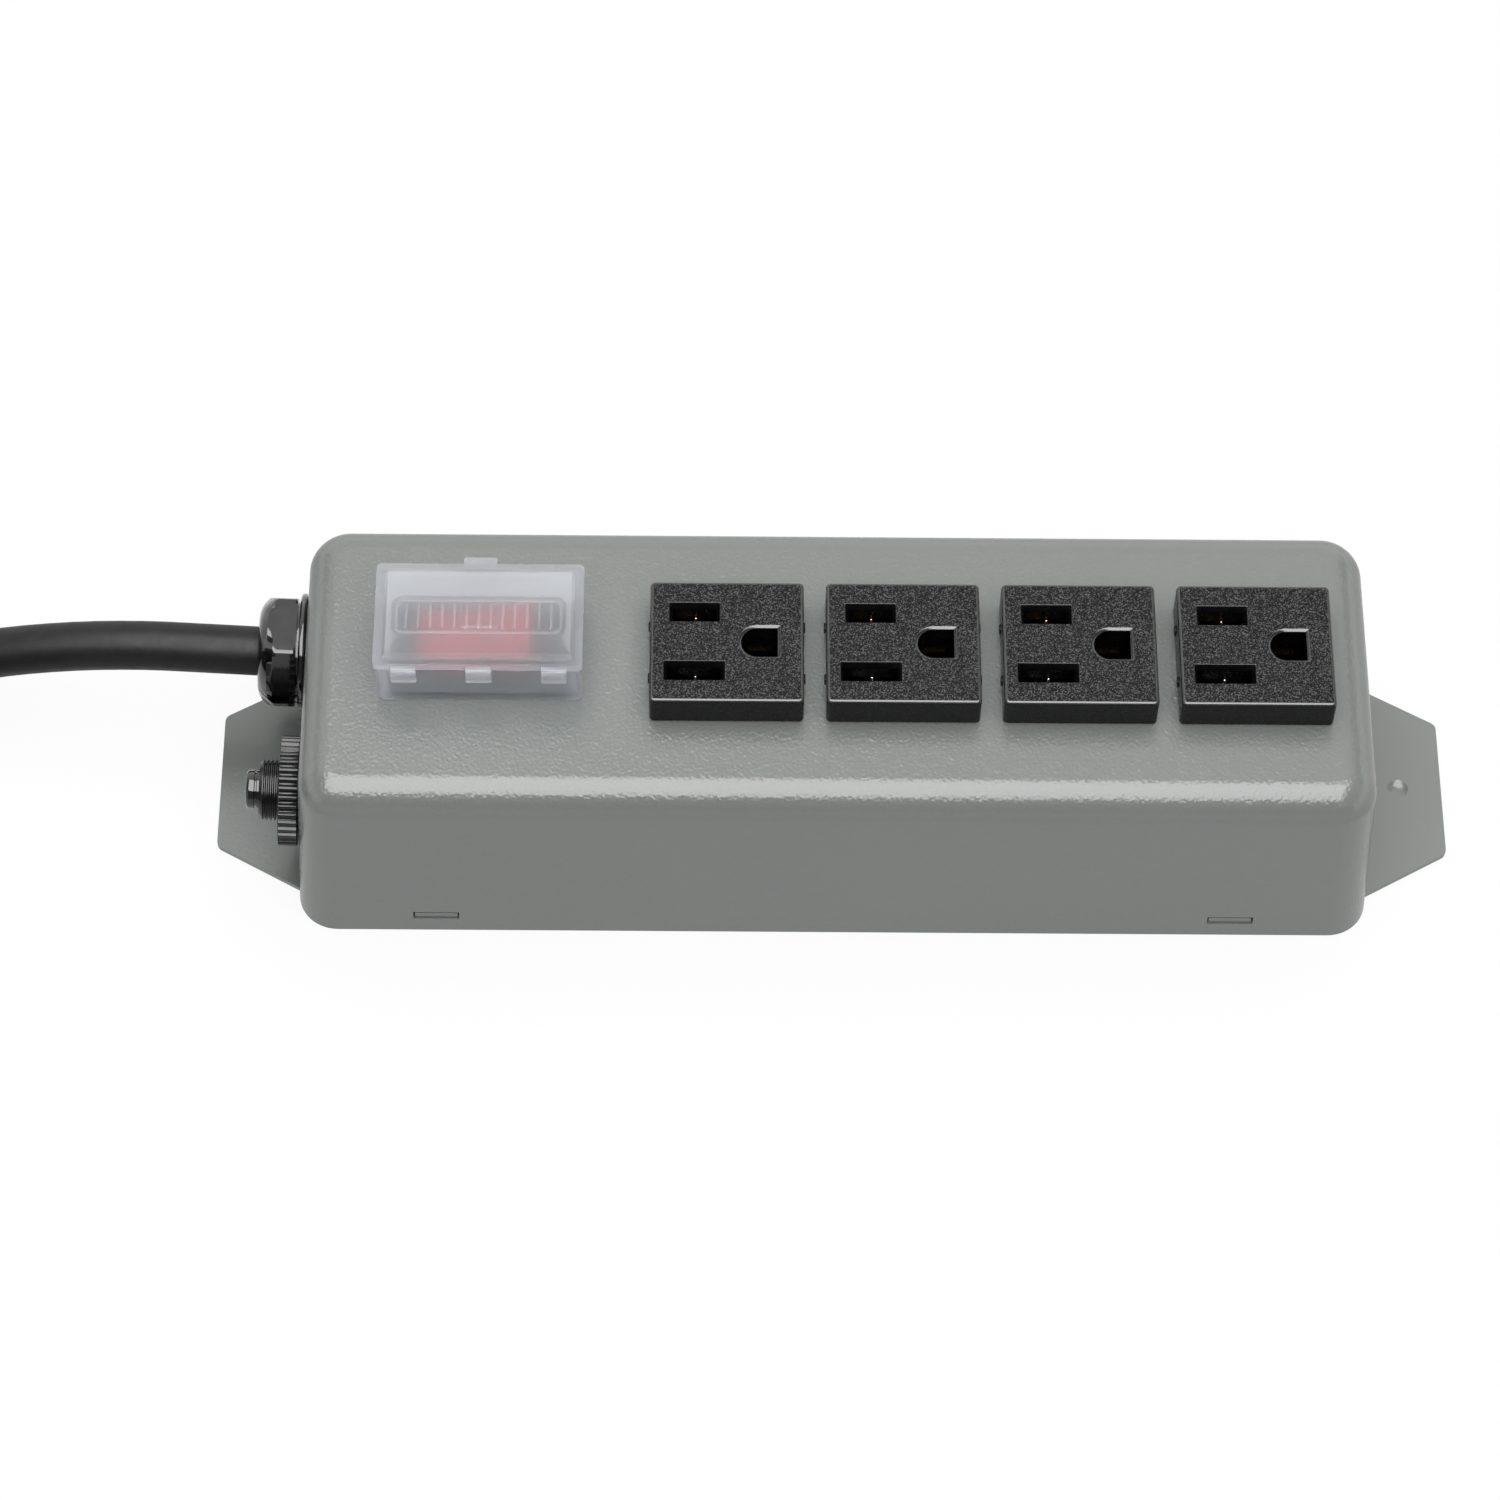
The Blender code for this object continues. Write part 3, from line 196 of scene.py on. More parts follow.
def polish(made, value, low, high):
    """Roughness that runs from low to high as the value goes from 0.3 to 0.7."""
    node = made.node_tree.nodes.new("ShaderNodeMapRange")
    node.inputs["From Min"].default_value = 0.3
    node.inputs["From Max"].default_value = 0.7
    node.inputs["To Min"].default_value = low
    node.inputs["To Max"].default_value = high
    link(made, value, node.inputs["Value"])
    link(made, node.outputs["Result"], shader_of(made).inputs["Roughness"])


def shades(made, value, dark, light, start=0.3, end=0.7):
    """Base colour that runs between two shades with the value."""
    ramp = made.node_tree.nodes.new("ShaderNodeValToRGB")
    ramp.color_ramp.elements[0].position = start
    ramp.color_ramp.elements[0].color = (*dark, 1.0)
    ramp.color_ramp.elements[1].position = end
    ramp.color_ramp.elements[1].color = (*light, 1.0)
    link(made, value, ramp.inputs["Fac"])
    link(made, ramp.outputs["Color"], shader_of(made).inputs["Base Color"])


def relief(made, *layers):
    """Bump from (height, distance in metres) layers, each on top of the one before."""
    last = None
    for height, distance in layers:
        node = made.node_tree.nodes.new("ShaderNodeBump")
        node.inputs["Strength"].default_value = 1.0
        node.inputs["Distance"].default_value = distance
        link(made, height, node.inputs["Height"])
        if last is not None:
            link(made, last, node.inputs["Normal"])
        last = node.outputs["Normal"]
    link(made, last, shader_of(made).inputs["Normal"])


def make_paint(name, depth):
    made = finish(name, (0.2, 0.21, 0.2), 0.2)
    shades(made, grain(made, 14, 2), (0.198, 0.213, 0.201), (0.208, 0.223, 0.211))
    polish(made, grain(made, 900, 2), 0.17, 0.23)
    relief(made, (grain(made, 1500, 1.0, 0.4), depth), (grain(made, 420, 0), 0.00001))
    return made


def make_outlet_grain_and_sparkle():
    made = finish("outlet_grain_and_sparkle", (0.02, 0.02, 0.021), 0.5, Specular_IOR_Level=0.12)
    fine = grain(made, 3500, 1, 0.7)
    # Light specks on the grain's raised points: partly the plastic's own speckle, partly painted sparkle.
    shades(made, fine, (0.0, 0.0, 0.0), (0.105, 0.105, 0.110), 0.50, 0.68)
    polish(made, fine, 0.55, 0.42)
    relief(made, (fine, 0.00003))
    return made


def make_outlet_smooth():
    made = finish("outlet_smooth", (0.004, 0.004, 0.0045), 0.3, Specular_IOR_Level=0.14)
    shades(made, grain(made, 300, 3), (0.002, 0.002, 0.0022), (0.005, 0.005, 0.0055))
    polish(made, grain(made, 700, 3), 0.22, 0.34)
    relief(made, (grain(made, 900, 2), 0.00002))
    return made


def make_outlet_rim():
    made = finish("outlet_rim", (0.008, 0.008, 0.0085), 0.2, Specular_IOR_Level=0.9)
    shades(made, grain(made, 300, 3), (0.006, 0.006, 0.0065), (0.010, 0.010, 0.011))
    polish(made, grain(made, 700, 3), 0.16, 0.26)
    relief(made, (grain(made, 900, 2), 0.00002))
    return made


def make_gloss():
    made = finish("black_gloss", (0.004, 0.004, 0.0045), 0.12, Coat_Weight=1.0, Coat_Roughness=0.05,
                  Specular_IOR_Level=0.25)
    shades(made, grain(made, 200, 3), (0.002, 0.002, 0.0022), (0.005, 0.005, 0.0055))
    polish(made, grain(made, 420, 3), 0.09, 0.2)
    relief(made, (grain(made, 380, 1), 0.00003))
    return made


def make_jacket():
    made = finish("cord_jacket", (0.009, 0.009, 0.0095), 0.42, Specular_IOR_Level=0.22)
    shades(made, grain(made, 260, 4, 0.6), (0.007, 0.007, 0.0075), (0.013, 0.013, 0.0135))
    polish(made, grain(made, 500, 4), 0.36, 0.5)
    relief(made, (grain(made, 1500, 2), 0.00002), (grain(made, 120, 1), 0.00010))
    return made


def make_satin_black(name, dark=0.008, light=0.014, low=0.36, high=0.5, scale=1200, depth=0.00003):
    made = finish(name, (dark, dark, dark), (low + high) / 2)
    shades(made, grain(made, 240, 3), (dark, dark, dark * 1.05), (light, light, light * 1.05))
    polish(made, grain(made, 600, 3), low, high)
    relief(made, (grain(made, scale, 2), depth))
    return made


def make_red():
    made = finish("rocker_red", (0.6, 0.015, 0.02), 0.2, Coat_Weight=0.3, Coat_Roughness=0.08)
    shades(made, grain(made, 150, 2), (0.44, 0.010, 0.016), (0.52, 0.014, 0.022))
    polish(made, grain(made, 500, 2), 0.16, 0.26)
    relief(made, (grain(made, 500, 1), 0.00001))
    return made


def make_clear(name, passing, low, high):
    """Milky moulded plastic: light goes through it blurred, and lamps reach what is behind it, dimmed."""
    made = finish(name, (0.93, 0.94, 0.97), low, IOR=1.25, Transmission_Weight=passing, Coat_Weight=1.0,
                  Coat_Roughness=0.05)
    shades(made, grain(made, 60, 2), (0.91, 0.925, 0.965), (0.95, 0.965, 0.99))
    polish(made, grain(made, 900, 2), low, high)
    relief(made, (grain(made, 2600, 1), 0.000012), (grain(made, 140, 1), 0.00002))
    nodes = made.node_tree.nodes
    path = nodes.new("ShaderNodeLightPath")
    clear = nodes.new("ShaderNodeBsdfTransparent")
    clear.inputs["Color"].default_value = (0.56, 0.56, 0.585, 1.0)
    mixer = nodes.new("ShaderNodeMixShader")
    link(made, path.outputs["Is Shadow Ray"], mixer.inputs["Fac"])
    link(made, shader_of(made).outputs["BSDF"], mixer.inputs[1])
    link(made, clear.outputs["BSDF"], mixer.inputs[2])
    link(made, mixer.outputs["Shader"], nodes["Material Output"].inputs["Surface"])
    return made


def make_metal(name, dark, light, low, high, brushed=(1.0, 1.0, 1.0), scale=900, depth=0.00001):
    made = finish(name, dark, (low + high) / 2, metallic=1.0)
    shades(made, grain(made, 180, 4, 0.6), dark, light)
    polish(made, grain(made, scale, 3, 0.6, brushed), low, high)
    relief(made, (grain(made, scale * 1.5, 2, 0.5, brushed), depth))
    return made


def make_wire(name, dark, light):
    made = finish(name, dark, 0.4)
    shades(made, grain(made, 300, 3), dark, light)
    polish(made, grain(made, 700, 2), 0.32, 0.46)
    relief(made, (grain(made, 1400, 2), 0.00002))
    return made


def make_fibre():
    made = finish("fibre_board", (0.30, 0.26, 0.20), 0.8)
    shades(made, grain(made, 500, 5, 0.7, (0.3, 1.4, 1.0)), (0.22, 0.19, 0.15), (0.36, 0.32, 0.26))
    relief(made, (grain(made, 1300, 3, 0.6, (0.4, 1.6, 1.0)), 0.00006))
    return made


def make_strap():
    """Woven hook-and-loop band, with painted shade in the hollows of its weave."""
    made = finish("tie_weave", (0.012, 0.012, 0.013), 0.75, Sheen_Weight=0.3, Sheen_Roughness=0.5)
    weave_and_shade = cells(made, 1100, (1.0, 1.6, 1.6))
    # Colour darker where the weave sinks: painted shade in its hollows.
    shades(made, weave_and_shade, (0.024, 0.024, 0.026), (0.006, 0.006, 0.007), 0.1, 0.7)
    relief(made, (weave_and_shade, -0.00020))
    return made


PAINT = make_paint("grey_paint", 0.00008)
PAINT_SMOOTH = make_paint("grey_paint_smooth", 0.00002)
# Outlet face grain, with painted sparkle in its light specks.
OUTLET_GRAIN_AND_SPARKLE = make_outlet_grain_and_sparkle()
OUTLET_SMOOTH = make_outlet_smooth()
OUTLET_RIM = make_outlet_rim()
GLOSS = make_gloss()
JACKET = make_jacket()
SWITCH_BLACK = make_satin_black("switch_black")
BREAKER_BLACK = make_satin_black("breaker_black", 0.003, 0.006, 0.18, 0.30, 700, 0.00002)
PLUG_BLACK = make_satin_black("plug_black", 0.010, 0.018, 0.42, 0.56, 1600, 0.00006)
RED = make_red()
CLEAR = make_clear("cover_clear", 0.992, 0.62, 0.72)
MILKY = make_clear("cover_milky", 0.88, 0.5, 0.6)
BRASS = make_metal("brass", (0.66, 0.42, 0.13), (0.80, 0.56, 0.22), 0.18, 0.34, (1.0, 6.0, 1.0))
# Brass of the earth contacts darkened as painted shade, for their place deep under the earth holes.
BRASS_PAINTED_SHADE = make_metal("brass_painted_shade", (0.20, 0.13, 0.05), (0.28, 0.19, 0.08), 0.4, 0.55)
NICKEL = make_metal("nickel", (0.62, 0.60, 0.56), (0.74, 0.72, 0.68), 0.16, 0.3, (6.0, 1.0, 6.0))
STEEL = make_metal("zinc_steel", (0.46, 0.46, 0.47), (0.62, 0.62, 0.64), 0.26, 0.42)
WIRE_BLACK = make_wire("wire_black", (0.010, 0.010, 0.011), (0.018, 0.018, 0.019))
WIRE_WHITE = make_wire("wire_white", (0.66, 0.66, 0.63), (0.76, 0.76, 0.73))
WIRE_GREEN = make_wire("wire_green", (0.015, 0.18, 0.05), (0.03, 0.25, 0.08))
FIBRE = make_fibre()
STRAP = make_strap()


# ---------------------------------------------------------------- modelling helpers, in millimetres

def object_from(bm, name):
    mesh = bpy.data.meshes.new(name)
    bm.to_mesh(mesh)
    bm.free()
    item = bpy.data.objects.new(name, mesh)
    bpy.context.scene.collection.objects.link(item)
    return item


def upright(edge):
    start, end = edge.verts
    run = end.co - start.co
    return abs(run.z) > 0.99 * run.length


def block(name, low, high, rounding=0.0, segments=3, chosen=None):
    low = Vector(low) * MM
    high = Vector(high) * MM
    bm = bmesh.new()
    place = Matrix.Translation((low + high) / 2) @ Matrix.Diagonal((*(high - low), 1.0))
    bmesh.ops.create_cube(bm, size=1.0, matrix=place)
    if rounding:
        edges = [edge for edge in bm.edges if chosen is None or chosen(edge)]
        bmesh.ops.bevel(bm, geom=edges, offset=rounding * MM, segments=segments, profile=0.5, affect="EDGES")
    return object_from(bm, name)


def rod(name, start, end, radius, end_radius=None, sides=32):
    """A round bar or cone between two points that are already in metres."""
    turn = (end - start).to_track_quat("Z", "Y").to_matrix().to_4x4()
    end_radius = radius if end_radius is None else end_radius
    bm = bmesh.new()
    bmesh.ops.create_cone(bm, cap_ends=True, segments=sides, radius1=radius * MM, radius2=end_radius * MM,
                          depth=(end - start).length, matrix=Matrix.Translation((start + end) / 2) @ turn)
    return object_from(bm, name)


def axis_place(origin, direction):
    """Matrix that puts local Z along the direction and keeps local Y level."""
    forward = Vector(direction).normalized()
    side = Vector((0, 1, 0)) if abs(forward.y) < 0.9 else Vector((1, 0, 0))
    other = side.cross(forward).normalized()
    side = forward.cross(other)
    turn = Matrix((other, side, forward)).transposed().to_4x4()
    return Matrix.Translation(origin) @ turn


def lofted(name, rings, place, caps=True):
    """A closed skin over rings of equal point count; the last ring joins the first unless capped."""
    bm = bmesh.new()
    loops = [[bm.verts.new(place @ (Vector(point) * MM)) for point in ring] for ring in rings]
    count = len(loops[0])
    pairs = list(zip(loops, loops[1:]))
    if not caps:
        pairs.append((loops[-1], loops[0]))
    for first, second in pairs:
        for step in range(count):
            after = (step + 1) % count
            bm.faces.new((first[step], first[after], second[after], second[step]))
    if caps:
        bm.faces.new(list(reversed(loops[0])))
        bm.faces.new(loops[-1])
    bmesh.ops.recalc_face_normals(bm, faces=bm.faces)
    return object_from(bm, name)


def turned(name, profile, place, steps=64, shape=None):
    """A closed profile of (radius, height) turned about local Z.

    shape(angle, radius, height) may change the radius."""
    rings = []
    for step in range(steps):
        angle = math.tau * step / steps
        ring = []
        for radius, height in profile:
            reach = shape(angle, radius, height) if shape else radius
            ring.append((reach * math.cos(angle), reach * math.sin(angle), height))
        rings.append(ring)
    return lofted(name, rings, place, caps=False)


def solid_turned(name, profile, place, steps=64):
    """As turned, for a profile that starts and ends on the axis, without doubled points there."""
    item = turned(name, profile, place, steps)
    bm = bmesh.new()
    bm.from_mesh(item.data)
    bmesh.ops.remove_doubles(bm, verts=bm.verts, dist=0.000002)
    bmesh.ops.dissolve_degenerate(bm, dist=0.000001, edges=bm.edges)
    bmesh.ops.recalc_face_normals(bm, faces=bm.faces)
    bm.to_mesh(item.data)
    bm.free()
    return item


def prism(name, outline, thickness, place, hole=None):
    """An outline extruded by thickness along local Z, with at most one hole, of the same point count."""
    low = [(x, y, -thickness / 2) for x, y in outline]
    high = [(x, y, thickness / 2) for x, y in outline]
    if hole is None:
        return lofted(name, [low, high], place)
    inner_high = [(x, y, thickness / 2) for x, y in hole]
    inner_low = [(x, y, -thickness / 2) for x, y in hole]
    return lofted(name, [low, high, inner_high, inner_low], place, caps=False)


def bake(item):
    bpy.context.view_layer.update()
    depsgraph = bpy.context.evaluated_depsgraph_get()
    mesh = bpy.data.meshes.new_from_object(item.evaluated_get(depsgraph))
    mesh.transform(item.matrix_world)
    item.modifiers.clear()
    item.data = mesh
    item.matrix_world = Matrix.Identity(4)
    return item


def combine(base, others, operation):
    for other in others:
        boolean = base.modifiers.new(other.name, "BOOLEAN")
        boolean.operation = operation
        boolean.solver = "EXACT"
        boolean.object = other
    bake(base)
    for other in others:
        bpy.data.objects.remove(other, do_unlink=True)
    return base


def cut(base, cutters):
    return combine(base, cutters, "DIFFERENCE")


def join(base, additions):
    return combine(base, additions, "UNION")


def soften(item, width, segments=2, angle=28.0, where=None):
    """Round every crease of the mesh that is sharper than the angle."""
    bm = bmesh.new()
    bm.from_mesh(item.data)
    bmesh.ops.remove_doubles(bm, verts=bm.verts, dist=0.000002)
    bmesh.ops.dissolve_limit(bm, angle_limit=math.radians(0.6), verts=bm.verts, edges=bm.edges)
    edges = [edge for edge in bm.edges if len(edge.link_faces) == 2
             and edge.calc_face_angle(0.0) > math.radians(angle) and (where is None or where(edge))]
    bmesh.ops.bevel(bm, geom=edges, offset=width * MM, segments=segments, profile=0.5, affect="EDGES",
                    clamp_overlap=True)
    bm.to_mesh(item.data)
    bm.free()
    return item


def dress(item, made, body, nodes=(), sharp=32.0, weighted=True):
    """Finish a piece: material, smooth shading, the body it rides on and the CAD nodes it stands for."""
    item.data.materials.clear()
    for one in made if isinstance(made, (list, tuple)) else [made]:
        item.data.materials.append(one)
    item.data.shade_smooth()
    item.data.set_sharp_from_angle(angle=math.radians(sharp))
    if weighted:
        normals = item.modifiers.new("Normals", "WEIGHTED_NORMAL")
        normals.keep_sharp = True
    if body:
        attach(item, body)
    if nodes:
        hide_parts(*nodes)
    return item


def repaint(node, made):
    mesh = frame["nodes"][node].data
    mesh.materials.clear()
    mesh.materials.append(made)


# ---------------------------------------------------------------- mains lead

def ease(share):
    share = min(max(share, 0.0), 1.0)
    return share * share * (3 - 2 * share)


def loop_place(walked, offset):
    """A point of the hank's loop in plan, so far along it from the back run's start and so far outwards."""
    fold = math.pi * FOLD_RADIUS
    reach = FOLD_RADIUS + offset
    if walked < HANK_RUN:
        return HANK[0] - walked, HANK[1] + reach
    walked -= HANK_RUN
    if walked < fold:
        angle = math.radians(90) + walked / FOLD_RADIUS
        return HANK[0] - HANK_RUN + reach * math.cos(angle), HANK[1] + reach * math.sin(angle)
    walked -= fold
    if walked < HANK_RUN:
        return HANK[0] - HANK_RUN + walked, HANK[1] - reach
    walked -= HANK_RUN
    angle = math.radians(270) + walked / FOLD_RADIUS
    return HANK[0] + reach * math.cos(angle), HANK[1] + reach * math.sin(angle)


def hank_point(turn, walked):
    """A point on a turn of the lead.

    The bundle is two turns wide and two high. Each turn changes its place in it on the front run, round
    the middle of the bundle. The last turn climbs on top and rises to the plug."""
    share = ease((walked - HANK_RUN - math.pi * FOLD_RADIUS) / HANK_RUN)
    lift = 2.0 * math.sin(math.pi * share) ** 2
    half = CORD_SPACING / math.sqrt(2)

    def spot(index):
        angle = math.radians(-45 - 90 * (index + share))
        return half * math.cos(angle), half * math.sin(angle) + lift

    if turn < 3:
        across, above = spot(turn)
    else:
        across, above = spot(2)
        angle = math.radians(120) * share
        across += CORD_SPACING * math.cos(angle)
        above += CORD_SPACING * math.sin(angle)
        climb = ease((walked - 2 * HANK_RUN - math.pi * FOLD_RADIUS) / (math.pi * FOLD_RADIUS))
        above += climb * (PLUG_Z - HANK[2] - LAST_TURN)
    x, y = loop_place(walked, across)
    return Vector((x, y, HANK[2] + above))


def smooth_route(route, steps):
    """Points on the smooth curve through the route's own points."""
    knots = [2 * route[0] - route[1]] + route + [2 * route[-1] - route[-2]]
    fine = []
    for before, start, end, after in zip(knots, knots[1:], knots[2:], knots[3:]):
        for step in range(steps):
            t = step / steps
            leave = (end - before) / 2
            arrive = (after - start) / 2
            fine.append((2 * t**3 - 3 * t**2 + 1) * start + (t**3 - 2 * t**2 + t) * leave
                        + (3 * t**2 - 2 * t**3) * end + (t**3 - t**2) * arrive)
    fine.append(route[-1])
    return fine


def lead_points():
    start = end_point(GLAND_Y, 9.0) / MM
    route = [start] + [Vector(point) for point in (
        (-119.5, 16.2, 22.9), (-131.0, 16.9, 22.6), (-144.0, 17.7, 20.9), (-158.0, 18.4, 17.6),
        (-170.0, 19.1, 12.7), (-180.0, 19.4, 8.8), (-190.0, 19.5, 6.6), (-198.5, 19.5, 5.95))]
    route.append(hank_point(0, 0.0))
    points = smooth_route(route, 3)[:-1]
    whole = 2 * HANK_RUN + 2 * math.pi * FOLD_RADIUS
    per_turn = 84
    points += [hank_point(step // per_turn, whole * (step % per_turn) / per_turn)
               for step in range(4 * per_turn)]
    points += [Vector((HANK[0], PLUG_Y, PLUG_Z)), Vector((PLUG_START_X - 2.0, PLUG_Y, PLUG_Z))]
    return points


def make_lead():
    data = bpy.data.curves.new("cord", "CURVE")
    data.dimensions = "3D"
    data.bevel_depth = CORD_RADIUS * MM
    data.bevel_resolution = 7
    data.use_fill_caps = True
    points = lead_points()
    spline = data.splines.new("POLY")
    spline.points.add(len(points) - 1)
    for point, position in zip(spline.points, points):
        point.co = (*(position * MM), 1.0)
    spline.use_smooth = True
    data.materials.append(JACKET)
    lead = bpy.data.objects.new("mains_lead", data)
    bpy.context.scene.collection.objects.link(lead)
    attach(lead, "strip")
    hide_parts("cord", "cord_coil", "cord_end")
    return lead


def make_tie():
    """Band round the turns, with its free end lapped over the top."""
    y, z = HANK[1] + FOLD_RADIUS, HANK[2]
    room = CORD_SPACING / 2 + CORD_RADIUS + 0.35

    def section(reach, corner):
        ring = []
        for turn in range(4):
            for step in range(10):
                angle = math.radians(90 * turn + 10 * step)
                across = (reach - corner) * (1 if turn in (0, 3) else -1) + corner * math.cos(angle)
                above = (reach - corner) * (1 if turn in (0, 1) else -1) + corner * math.sin(angle)
                ring.append((y + across, z + above))
        return ring

    def loop(name, half_width, outer, inner):
        rings = [[(TIE_X + side * half_width, across, above) for across, above in points]
                 for side, points in ((-1, outer), (1, outer), (1, inner), (-1, inner))]
        return lofted(name, rings, Matrix.Identity(4), caps=False)

    band = loop("tie_band", 4.5, section(room + 0.85, 5.0), section(room, 4.4))
    soften(band, 0.25, 2)
    dress(band, STRAP, "strip", ["cord_tie"])
    lap = loop("tie_lap", 4.3, section(room + 1.65, 5.4), section(room + 0.8, 4.9))
    away = block("away", (TIE_X - 10, y - 30, z - 30), (TIE_X + 10, y + 30, z + 6.5))
    side = block("side", (TIE_X - 10, y - 30, z), (TIE_X + 10, y - 3.0, z + 30))
    cut(lap, [away, side])
    soften(lap, 0.22, 2)
    dress(lap, STRAP, "strip", ())
    return [band, lap]


def make_plug():
    y, z = PLUG_Y, PLUG_Z
    back, face = PLUG_START_X - 24, PLUG_START_X - 52
    half_y = 13
    pieces = []
    body = block("plug_shell", (face, y - half_y, z - 12.2), (back, y + half_y, z + 12.2), rounding=4.0,
                 segments=6)
    neck = rod("neck", mm(PLUG_START_X, y, z), mm(back - 5, y, z), CORD_RADIUS + 1.0, end_radius=8.5,
               sides=48)
    join(body, [neck])
    grooves = []
    for index in range(5):
        away = 4.5 + index * 4.0
        inner = CORD_RADIUS + 0.35 + away / 29 * 2.5
        ring = turned("groove", [(inner, -0.8), (inner, 0.8), (12.0, 0.8), (12.0, -0.8)],
                      axis_place(mm(PLUG_START_X - away, y, z), (1, 0, 0)), 48)
        grooves.append(ring)
    for side in (-1, 1):
        for index in range(5):
            x = back - 5.5 - index * 3.6
            edge = y + side * half_y
            grooves.append(block("grip", (x - 0.8, edge - 0.5, z - 7), (x + 0.8, edge + 0.5, z + 7)))
    cut(body, grooves)
    soften(body, 0.3, 2)
    pieces.append(dress(body, PLUG_BLACK, "strip", ["plug_body"]))
    blade_z = z + BLADE_X
    root = face - 0.3
    for name, side, node in (("plug_blade_left", -1, "plug_blade_line"),
                             ("plug_blade_right", 1, "plug_blade_neutral")):
        blade_y = y + side * BLADE_Y
        blade = block(name, (root - 16, blade_y - 0.75, blade_z - 3.2),
                      (root, blade_y + 0.75, blade_z + 3.2))
        hole_x = root - 12
        hole = rod("blade_hole", mm(hole_x, blade_y - 2, blade_z), mm(hole_x, blade_y + 2, blade_z), 1.6)
        cut(blade, [hole])
        soften(blade, 0.28, 3)
        pieces.append(dress(blade, NICKEL, "strip", [node]))
    place = axis_place(mm(root, y, z + EARTH_X), (-1, 0, 0))
    profile = [(0, 0), (2.4, 0), (2.4, 18.6), (2.2, 19.8), (1.6, 20.6), (0.8, 20.95), (0, 21)]
    pin = solid_turned("plug_pin", profile, place, 40)
    pieces.append(dress(pin, NICKEL, "strip", ["plug_ground_pin"]))
    return pieces


lead = make_lead()
tie = make_tie()
plug = make_plug()


# ---------------------------------------------------------------- box and base plate

def make_housing():
    bm = bmesh.new()
    size = Matrix.Diagonal((*(Vector(BOX) * MM), 1.0))
    bmesh.ops.create_cube(bm, size=1.0, matrix=Matrix.Translation(mm(0, 0, BOX[2] / 2)) @ size)
    for vert in bm.verts:
        if vert.co.z > 0.02:
            vert.co.x -= math.copysign(BOX[2] * MM * math.tan(END_DRAFT), vert.co.x)
            vert.co.y -= math.copysign(BOX[2] * MM * math.tan(SIDE_DRAFT), vert.co.y)
    floor = [face for face in bm.faces if face.calc_center_median().z < 0.002]
    bmesh.ops.delete(bm, geom=floor, context="FACES_ONLY")
    edges = [edge for edge in bm.edges if abs(edge.verts[0].co.z - edge.verts[1].co.z) > 0.001]
    bmesh.ops.bevel(bm, geom=edges, offset=BOX_UPRIGHT_EDGE * MM, segments=14, profile=0.5, affect="EDGES")
    edges = [edge for edge in bm.edges if min(vert.co.z for vert in edge.verts) > (BOX[2] - 0.01) * MM]
    bmesh.ops.bevel(bm, geom=edges, offset=BOX_TOP_EDGE * MM, segments=14, profile=0.5, affect="EDGES")
    housing = object_from(bm, "housing_shell")
    shell = housing.modifiers.new("Sheet", "SOLIDIFY")
    shell.thickness = BOX_SHEET * MM
    shell.offset = -1.0
    shell.use_even_offset = True
    bake(housing)
    for vert in housing.data.vertices:
        if vert.co.z < BOX_SHEET * MM:
            vert.co.z = 0.0
    cutters = []
    top = BOX[2]
    for index in range(4):
        x = OUTLET_FIRST_X + index * OUTLET_PITCH
        cutters.append(block("cut", (x - 13.5, -12.5, top - 3), (x + 13.5, 12.5, top + 3)))
    x, y = SWITCH
    half_x, half_y = SWITCH_HOLE
    cutters.append(block("cut", (x - half_x, y - half_y, top - 3), (x + half_x, y + half_y, top + 3)))
    for y, radius in ((GLAND_Y, 8.3), (BREAKER_Y, 6.0)):
        cutters.append(rod("cut", end_point(y, -4), end_point(y, 3), radius, sides=48))
    for side in (-1, 1):
        for front in (-1, 1):
            middle = front * (BOX[1] / 2 - BOX_SHEET / 2)
            x = side * TAB_X
            cutters.append(block("cut", (x - 4.3, middle - 2, 3.9), (x + 4.3, middle + 2, 6.3)))
        middle = side * (BOX[0] / 2 - BOX_SHEET / 2)
        cutters.append(block("cut", (middle - 2, -24.9, -1), (middle + 2, 24.9, 1.5)))
    cut(housing, cutters)
    return dress(housing, PAINT, "strip", ["housing"])


def make_base():
    corner = ((116.95, 14.35), (98.9, 24.6), (92.5, 30.2))
    outline = list(corner)
    outline += [(-x, y) for x, y in reversed(corner)]
    outline += [(-x, -y) for x, y in corner]
    outline += [(x, -y) for x, y in reversed(corner)]
    plate = prism("base_sheet", outline, PLATE, Matrix.Translation(mm(0, 0, PLATE / 2)))
    bm = bmesh.new()
    bm.from_mesh(plate.data)
    edges = [edge for edge in bm.edges if upright(edge)]
    bmesh.ops.bevel(bm, geom=edges, offset=0.9 * MM, segments=5, profile=0.5, affect="EDGES")
    bm.to_mesh(plate.data)
    bm.free()
    ball = 4.2
    profile = [(0, -ball)]
    for step in range(1, 40):
        angle = math.pi * step / 40
        profile.append((ball * math.sin(angle), -ball * math.cos(angle)))
    profile.append((0, ball))
    tabs = []
    marks = []
    for side in (-1, 1):
        left, right = side * TAB_X - 4.0, side * TAB_X + 4.0
        for front in (-1, 1):
            edge_y = front * 30.2
            inner_y = edge_y - front * PLATE
            nose_y = edge_y + front * 1.1
            low, high = sorted((edge_y, inner_y))
            tabs.append(block("tab", (left, low, 0.6), (right, high, 5.6)))
            low, high = sorted((inner_y, nose_y))
            tabs.append(block("nose", (left, low, 4.2), (right, high, 5.55)))
        place = Matrix.Translation(mm(side * FLANGE_MARK_X, 0, PLATE + ball - 0.5))
        marks.append(solid_turned("mark", profile, place, 48))
    join(plate, tabs)
    cut(plate, marks)
    soften(plate, 0.22, 3, angle=20)
    return dress(plate, PAINT_SMOOTH, "strip", ["base_plate"], sharp=40)


make_housing()
make_base()


# ---------------------------------------------------------------- outlets

